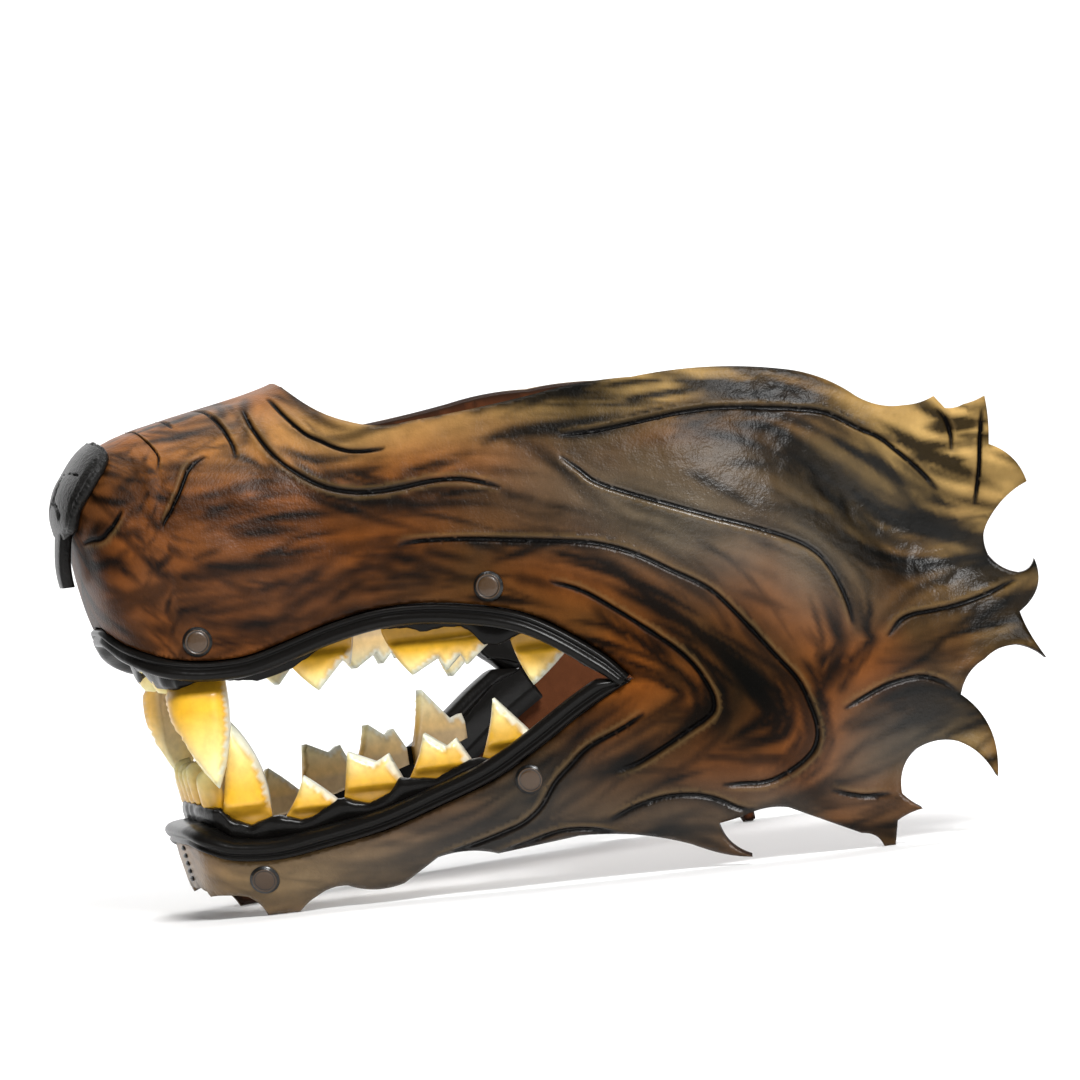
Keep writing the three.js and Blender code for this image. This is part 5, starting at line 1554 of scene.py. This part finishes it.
def side_tooth(row):
    """Points, faces and colours of a side tooth of the +X half."""
    tooth = dict(zip(tooth_columns, row))
    up = 1 if tooth["jaw"] == "upper" else -1
    front, rear, tip = (in_metres(tooth[name]) for name in ("front", "rear", "tip"))
    root = np.array([0, up * ROOT_LENGTH])
    front_edge = np.vstack([front, bowed(front, tip, -up * tooth["front_bow"], TOOTH_STEP)])
    rear_edge = [tip]
    for place in tooth["cusps"]:
        rear_edge.append(bowed(np.atleast_2d(rear_edge[-1])[-1], in_metres(place), 0, TOOTH_STEP))
    rear_edge.append(bowed(np.atleast_2d(rear_edge[-1])[-1], rear, -up * tooth["rear_bow"], TOOTH_STEP))
    rear_edge = np.vstack(rear_edge)
    closing = [bowed(rear, rear + root, 0, TOOTH_STEP), bowed(rear + root, front + root, 0, TOOTH_STEP)]
    closing.append(bowed(front + root, front, 0, TOOTH_STEP)[:-1])
    loop = np.vstack([front_edge, rear_edge[1:], *closing])
    flat, faces = fill_evenly(loop, TOOTH_STEP)
    base = (front[1] + rear[1]) / 2
    share = (flat[:, 1] - base) / (tip[1] - base)
    held_share = np.clip(share, 0, 1)
    depth = tooth_depth - tooth["lean"] * MM * held_share**LEAN_GROWTH
    edges = np.vstack([front_edge, rear_edge])
    round_over = DOME_ROUND + DOME_ROUND_SHARE * tooth["dome"] * MM
    gap = np.clip(gap_to_line(flat, edges) / round_over, 0, 1)
    dome = tooth["dome"] * MM * np.sqrt(1 - (1 - gap) ** 2) * np.clip((share + 0.02) / 0.14, 0, 1)
    along, height = flat[:, 0] / LENGTH, flat[:, 1] / HEIGHT
    foot_along, foot_up = along, height
    if tooth["name"] == "canine":
        place = np.clip((flat[:, 0] - front[0]) / (rear[0] - front[0]), 0, 1)
        foot_along = np.where(share > 0, (front[0] + (rear - front)[0] * place) / LENGTH, along)
        foot_up = np.where(share > 0, (front[1] + (rear - front)[1] * place) / HEIGHT, height)
    over = over_layer(foot_along, foot_up, depth)
    free = np.stack([np.zeros(len(flat)), (along - foot_along) * LENGTH, (height - foot_up) * HEIGHT], axis=1)
    normal = surface_normal(over)
    outside = over - normal * (depth - dome)[:, None] + free
    behind = over - normal * (depth + TOOTH_LEATHER)[:, None] + free
    points, faces = plate(outside, behind, faces, len(loop))
    colours = tooth_colours(flat, share, rear_edge)
    return points, faces, np.vstack([colours, mix(colours, BARE_CUT, np.full(len(colours), BACK_PALENESS))])


# Small front teeth: their places along the edge from the middle plane to the canine, and their sizes
incisor_rows = (
    ("upper", 0.18, 0.8), ("upper", 0.5, 0.86), ("upper", 0.82, 0.98),
    ("lower", 0.16, 1.04), ("lower", 0.45, 1.08), ("lower", 0.74, 1.0),
)
incisor_shape = ((-0.42, 0), (-0.52, 0.5), (-0.4, 0.8), (0.02, 1), (0.4, 0.78), (0.5, 0.5), (0.42, 0))
INCISOR_LENGTH = 0.017
INCISOR_START = 0.6 * MM
INCISOR_FILL = 0.9
INCISOR_ROUND = 2 * MM
INCISOR_DOME = 1.9 * MM
INCISOR_RIDGE = 0.5 * MM
RIDGE_SHARE = 0.18
CANINE_CLEAR = 4.2 * MM


def incisor(jaw, place, size):
    """Points, faces and colours of a front tooth of the +X half."""
    canine = next(row for row in tooth_rows if row[:2] == (jaw, "canine"))
    foot = over_layer(*(np.array([value]) for value in canine[2]), np.array([tooth_depth]))
    row_length = distance_to(jaw, foot[0, 1] / LENGTH + 0.5) - CANINE_CLEAR
    width = INCISOR_FILL * row_length / 3
    edge = spline(np.array(incisor_shape) * [width, INCISOR_LENGTH * size], TOOTH_STEP)
    top = bowed(edge[-1], edge[0], 0, TOOTH_STEP)[:-1]
    flat, faces = fill_evenly(np.vstack([edge, top]), TOOTH_STEP)
    station = stations(jaw, place * row_length + flat[:, 0])
    share = flat[:, 1] / (INCISOR_LENGTH * size)
    gap = np.clip(gap_to_line(flat, edge) / INCISOR_ROUND, 0, 1)
    ridge = INCISOR_RIDGE * np.exp(-((flat[:, 0] / (RIDGE_SHARE * width)) ** 2))
    dome = INCISOR_DOME * np.sqrt(1 - (1 - gap) ** 2) + ridge * gap
    dome = dome * np.clip((share - 0.3) / 0.2, 0, 1)
    reach = INCISOR_START + flat[:, 1]
    outside = band_points(station, reach, tooth_depth - dome)
    behind = band_points(station, reach, tooth_depth + TOOTH_LEATHER)
    points, faces = plate(outside, behind, faces, len(edge) + len(top))
    colours = tooth_colours(flat, (share - 0.35) / 0.65, np.empty((0, 2)))
    return points, faces, np.vstack([colours, colours])


tooth_yellow, nodes, links, shader = new_material(
    "tooth_leather", Roughness=0.38, Coat_Weight=0.3, Coat_Roughness=0.2
)
place = add_grain(nodes, links, shader, 1100.0, 0.1, 0.0002)
add_paint(nodes, links, shader, place, scale=420.0, detail=5.0, span=0.3)

for jaw in ("upper", "lower"):
    bodies = [side_tooth(row) for row in tooth_rows if row[0] == jaw]
    bodies += [incisor(*row) for row in incisor_rows if row[0] == jaw]
    bodies += [(points * [-1, 1, 1], faces[:, ::-1], colours) for points, faces, colours in bodies]
    starts = np.cumsum([0] + [len(points) for points, _, _ in bodies])
    all_points = np.vstack([points for points, _, _ in bodies])
    all_faces = np.vstack([faces + first for (_, faces, _), first in zip(bodies, starts)])
    teeth = make_object(jaw + "_teeth", all_points, all_faces)
    add_colours(teeth, "paint", np.vstack([colours for _, _, colours in bodies]))
    face_outwards(teeth)
    teeth.data.materials.append(tooth_yellow)
    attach(teeth, "root")
    kinds = ("canine", "molar", "incisor", "carnassial")
    names = [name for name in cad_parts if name.startswith(jaw) and any(kind in name for kind in kinds)]
    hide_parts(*names)


# Nose pad
# A second, grained black leather laid over the tip of the muzzle, with a nostril slit each side and a
# cut groove along its rear border. The septum strip hangs free from its lower edge.
PAD_ROUND = 1.6 * MM
PAD_ROUND_SHARE = 0.55
PAD_STEP = 0.9 * MM
SLIT_DEPTH = 1.9 * MM
SLIT_HALF_WIDTH = 1.1 * MM
PAD_THINNED = 1.1 * MM
PAD_GROOVE_DEPTH = 0.7 * MM
PAD_GROOVE_PLACE = 2.2 * MM
PAD_GROOVE_WIDTH = 0.5 * MM
pad_edge = (
    (0.053, 0.926), (0.0575, 0.916), (0.0607, 0.906), (0.0595, 0.893), (0.052, 0.874), (0.043, 0.855),
    (0.036, 0.838), (0.029, 0.818), (0.0235, 0.797), (0.0205, 0.765),
)
pad_slit = ((0.03, 0.868), (0.022, 0.872), (0.0155, 0.85), (0.0145, 0.82), (0.0155, 0.8))
SEPTUM_TOP = 0.79
SEPTUM_FOOT = 0.66
SEPTUM_HALF_WIDTHS = (0.006, 0.0035)
SEPTUM_LEATHER = 0.003
SEPTUM_CORNER = 0.0008
# How far the strip is set back, bulges forward below its middle, and slopes back to its top
SEPTUM_SETBACK = 0.0004
SEPTUM_BULGE = 0.0012
SEPTUM_SLOPE = 0.001
SEPTUM_STEPS = 15

pad_side = to_flat(side_curve(pad_edge, PAD_STEP))
pad_foot = np.interp(pad_side[-1][0], flat_u, flat_along)
pad_top_line = centre_line(True, nose_front, pad_edge[0][0])[:-1]
pad_foot_line = centre_line(False, pad_foot, nose_front)[1:-1]
pad_loop = np.vstack([pad_top_line, pad_side, pad_foot_line])
pad_centre = np.concatenate(
    [np.ones(len(pad_top_line), bool), np.zeros(len(pad_side), bool), np.ones(len(pad_foot_line), bool)]
)
pad_flat, pad_faces = fill_evenly(pad_loop, PAD_STEP)
slit_gap = gap_to_line(pad_flat, to_flat(side_curve(pad_slit, FINE_STEP)))
border_gap = gap_to_line(pad_flat, pad_side)
rounding = np.clip(1 - border_gap / PAD_ROUND, 0, 1)
pad_rise = PAD_GAP + PAD_LEATHER - PAD_LEATHER * PAD_ROUND_SHARE * (1 - np.sqrt(1 - rounding**2))
pad_rise -= SLIT_DEPTH * np.clip(1 - slit_gap / SLIT_HALF_WIDTH, 0, 1)
pad_rise -= PAD_GROOVE_DEPTH * np.exp(-(((border_gap - PAD_GROOVE_PLACE) / PAD_GROOVE_WIDTH) ** 2))
pad_fall = zone(nose_rows, seen_from_side(from_flat(pad_flat)))
pad_rise -= (NOSE_FALL + PAD_THINNED) * pad_fall
pad_outside = shell_layer(pad_flat, -pad_rise)
pad_behind = shell_layer(pad_flat, NOSE_FALL * pad_fall - PAD_GAP)
pad_rim = len(pad_loop)
pad_points, pad_body = plate(pad_outside, pad_behind, pad_faces, pad_rim)
middle_rim = np.concatenate([pad_centre, np.zeros(len(pad_flat) - pad_rim, bool)] * 2)
pad_points[middle_rim, 0] = 0
walls = middle_rim[pad_body].all(axis=1) & (np.abs(pad_points[pad_body][:, :, 0]).max(axis=1) < 1e-9)
pad_points, pad_body, _ = mirrored(pad_points, pad_body[~walls], middle_rim)
pad = make_object("nose_pad", pad_points, pad_body)
face_outwards(pad)

septum_rings = []
for step in range(SEPTUM_STEPS + 1):
    share = step / SEPTUM_STEPS
    half = SEPTUM_HALF_WIDTHS[0] * (1 - share) + SEPTUM_HALF_WIDTHS[1] * share
    z = (SEPTUM_TOP + (SEPTUM_FOOT - SEPTUM_TOP) * share) * HEIGHT
    bulge = SEPTUM_BULGE * math.sin(math.pi * share) * share
    front_y = -0.5 * LENGTH + SEPTUM_SETBACK - bulge + SEPTUM_SLOPE * (1 - share)
    ring = []
    for x, y, turn in ((half, 0, 0), (half, 1, 1), (-half, 1, 2), (-half, 0, 3)):
        for part in range(3):
            angle = math.pi / 2 * (turn + part / 2) - math.pi / 2
            centre_x = x - math.copysign(SEPTUM_CORNER, x)
            centre_y = front_y + SEPTUM_CORNER + y * (SEPTUM_LEATHER - 2 * SEPTUM_CORNER)
            across, back = SEPTUM_CORNER * math.cos(angle), SEPTUM_CORNER * math.sin(angle)
            ring.append((centre_x + across, centre_y + back, z))
    septum_rings.append(ring)
septum = make_object("septum_strip", *tube(np.array(septum_rings)))
face_outwards(septum)
nose_black, nodes, links, shader = new_material(
    "nose_leather", Base_Color=(0.009, 0.0085, 0.008, 1), Roughness=0.36, Specular_IOR_Level=0.15
)
add_grain(nodes, links, shader, 760.0, 0.5, 0.0005)
for piece in (pad, septum):
    piece.data.materials.append(nose_black)
    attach(piece, "root")
    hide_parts("nose_pad")


# Rivets
# Eight flat press rivets hold shell, lip and gum together, two at each end of each jaw. Their caps are
# painted over with the leather and have a fine turned rim.
rivet_rows = (
    ("upper_front", "upper", 0.12), ("upper_rear", "upper", 0.419),
    ("lower_front", "lower", 0.166), ("lower_rear", "lower", 0.433),
)
RIVET_SETBACK = 0.0046
RIVET_SIDES = 40
CAP_SHADE = DYE_BROWN * 0.8
# Further out and lower than these, the cap's turned ring is black
RING_START = 0.0024
RING_HEIGHT = 0.0007
# Radius and height above the leather, from the middle of the cap to the washer behind the gum
washer_depth = gum_depth + GUM_LEATHER + 0.0019
rivet_profile = (
    (0.0, 0.00085), (0.0018, 0.0008), (0.0023, 0.0007), (0.0025, 0.00055), (0.0027, 0.0008),
    (0.0029, 0.0008), (0.0030, 0.0006), (0.0031, 0.0004), (0.0036, 0.0003), (0.0036, 0.0001),
    (0.0015, 0.0001), (0.0015, -washer_depth),
    (0.0025, -washer_depth), (0.0025, -washer_depth - 0.0009), (0.0, -washer_depth - 0.0009),
)
rivet_brown, nodes, links, shader = new_material("rivet_metal", Roughness=0.4, Coat_Weight=0.3)
add_grain(nodes, links, shader, 900.0, 0.2, 0.0003)
paint = add_node(nodes, "Attribute", attribute_name="paint")
links.new(paint.outputs["Color"], shader.inputs["Base Color"])
rivet_turns = np.arange(RIVET_SIDES) / RIVET_SIDES * 2 * math.pi
for rivet_name, jaw, along in rivet_rows:
    for side_name, side in (("left", 1), ("right", -1)):
        station = stations(jaw, np.array([side * distance_to(jaw, along)]))
        centre = on_surface(station[0] - station[1] * RIVET_SETBACK)
        axis = Vector(surface_normal(centre)[0])
        turn = np.array(axis.to_track_quat("Z", "Y").to_matrix())
        rings = []
        for radius, height in rivet_profile:
            radius = max(radius, 1e-6)
            heights = np.full(RIVET_SIDES, height)
            ring = np.stack([radius * np.cos(rivet_turns), radius * np.sin(rivet_turns), heights], axis=1)
            rings.append(centre + ring @ turn.T)
        points, faces = tube(np.array(rings))
        rivet = make_object("rivet_" + rivet_name + "_" + side_name, points, faces)
        shades = []
        for radius, height in rivet_profile:
            on_cap = 0 < radius < RING_START or height > RING_HEIGHT
            shades.append(CAP_SHADE if on_cap else BLACK)
        shades = np.repeat(np.array(shades), RIVET_SIDES, axis=0)
        add_colours(rivet, "paint", np.vstack([shades, CAP_SHADE, BLACK]))
        face_outwards(rivet)
        rivet.data.materials.append(rivet_brown)
        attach(rivet, "root")
        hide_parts("rivet_" + rivet_name + "_" + side_name)


# Setting
# A pale paper sweep below and behind the mask, three soft lamps, one of them for the paper behind,
# and a dim pale sky.
SWEEP_HALF_WIDTH = 3.0
SWEEP_FRONT = 2.4
SWEEP_BACK = -1.5
SWEEP_BEND = 0.6
SWEEP_TOP = 3.0
SWEEP_STEPS = 24
sweep_profile = [(SWEEP_FRONT, 0.0), (SWEEP_BACK + SWEEP_BEND, 0.0)]
for step in range(1, SWEEP_STEPS + 1):
    turn = math.pi / 2 * step / SWEEP_STEPS
    bend_x = SWEEP_BACK + SWEEP_BEND * (1 - math.sin(turn))
    sweep_profile.append((bend_x, SWEEP_BEND * (1 - math.cos(turn))))
sweep_profile.append((SWEEP_BACK, SWEEP_TOP))
sweep_points = [(x, side * SWEEP_HALF_WIDTH, z) for x, z in sweep_profile for side in (-1, 1)]
sweep_faces = [(2 * i, 2 * i + 1, 2 * i + 3, 2 * i + 2) for i in range(len(sweep_profile) - 1)]
sweep = make_object("sweep", np.array(sweep_points), np.array(sweep_faces))
paper, nodes, links, shader = new_material("paper", Base_Color=(0.9, 0.9, 0.9, 1), Roughness=0.9)
sweep.data.materials.append(paper)

SKY_STRENGTH = 0.1
world = bpy.data.worlds.new("sky")
world.use_nodes = True
background = world.node_tree.nodes["Background"]
background.inputs["Color"].default_value = (1, 1, 1, 1)
background.inputs["Strength"].default_value = SKY_STRENGTH
scene.world = world


def add_lamp(name, place, size, power, target=(0, 0, 0.06)):
    """A square soft lamp that faces the mask or another target."""
    light = bpy.data.lights.new(name, "AREA")
    light.size = size
    light.energy = power
    lamp = bpy.data.objects.new(name, light)
    lamp.location = place
    lamp.rotation_euler = (Vector(target) - Vector(place)).to_track_quat("-Z", "Y").to_euler()
    scene.collection.objects.link(lamp)


add_lamp("high_lamp", (1.1, 0.05, 1.0), size=0.45, power=27)
add_lamp("rear_lamp", (0.9, 1.1, 0.5), size=0.25, power=1)
add_lamp("backdrop_lamp", (-0.25, 0.0, 1.3), size=0.8, power=26, target=(-1.5, 0.0, 0.4))

# The camera looks at the mask's left side from a little ahead of it, rolled as in the photo
CAMERA_TURN = 12
CAMERA_RISE = 1.4
CAMERA_ROLL = 7
CAMERA_DISTANCE = 1.6
CAMERA_LENS = 217.2
CAMERA_TARGET = Vector((0, 0, 0.064))
CAMERA_SHIFT = (0.0061, 0.0177)
turn, rise, roll = (math.radians(angle) for angle in (CAMERA_TURN, CAMERA_RISE, CAMERA_ROLL))
camera_back = Vector((math.cos(rise) * math.cos(turn), -math.cos(rise) * math.sin(turn), math.sin(rise)))
level_right = Vector((math.sin(turn), math.cos(turn), 0))
level_up = camera_back.cross(level_right)
camera_right = level_right * math.cos(roll) - level_up * math.sin(roll)
camera_up = level_up * math.cos(roll) + level_right * math.sin(roll)
camera_data = bpy.data.cameras.new("camera")
camera_data.lens = CAMERA_LENS
camera = bpy.data.objects.new("camera", camera_data)
turning = Matrix((camera_right, camera_up, camera_back)).transposed().to_4x4()
looked_at = CAMERA_TARGET + camera_right * CAMERA_SHIFT[0] + camera_up * CAMERA_SHIFT[1]
camera.matrix_world = Matrix.Translation(looked_at + camera_back * CAMERA_DISTANCE) @ turning
scene.collection.objects.link(camera)
scene.camera = camera
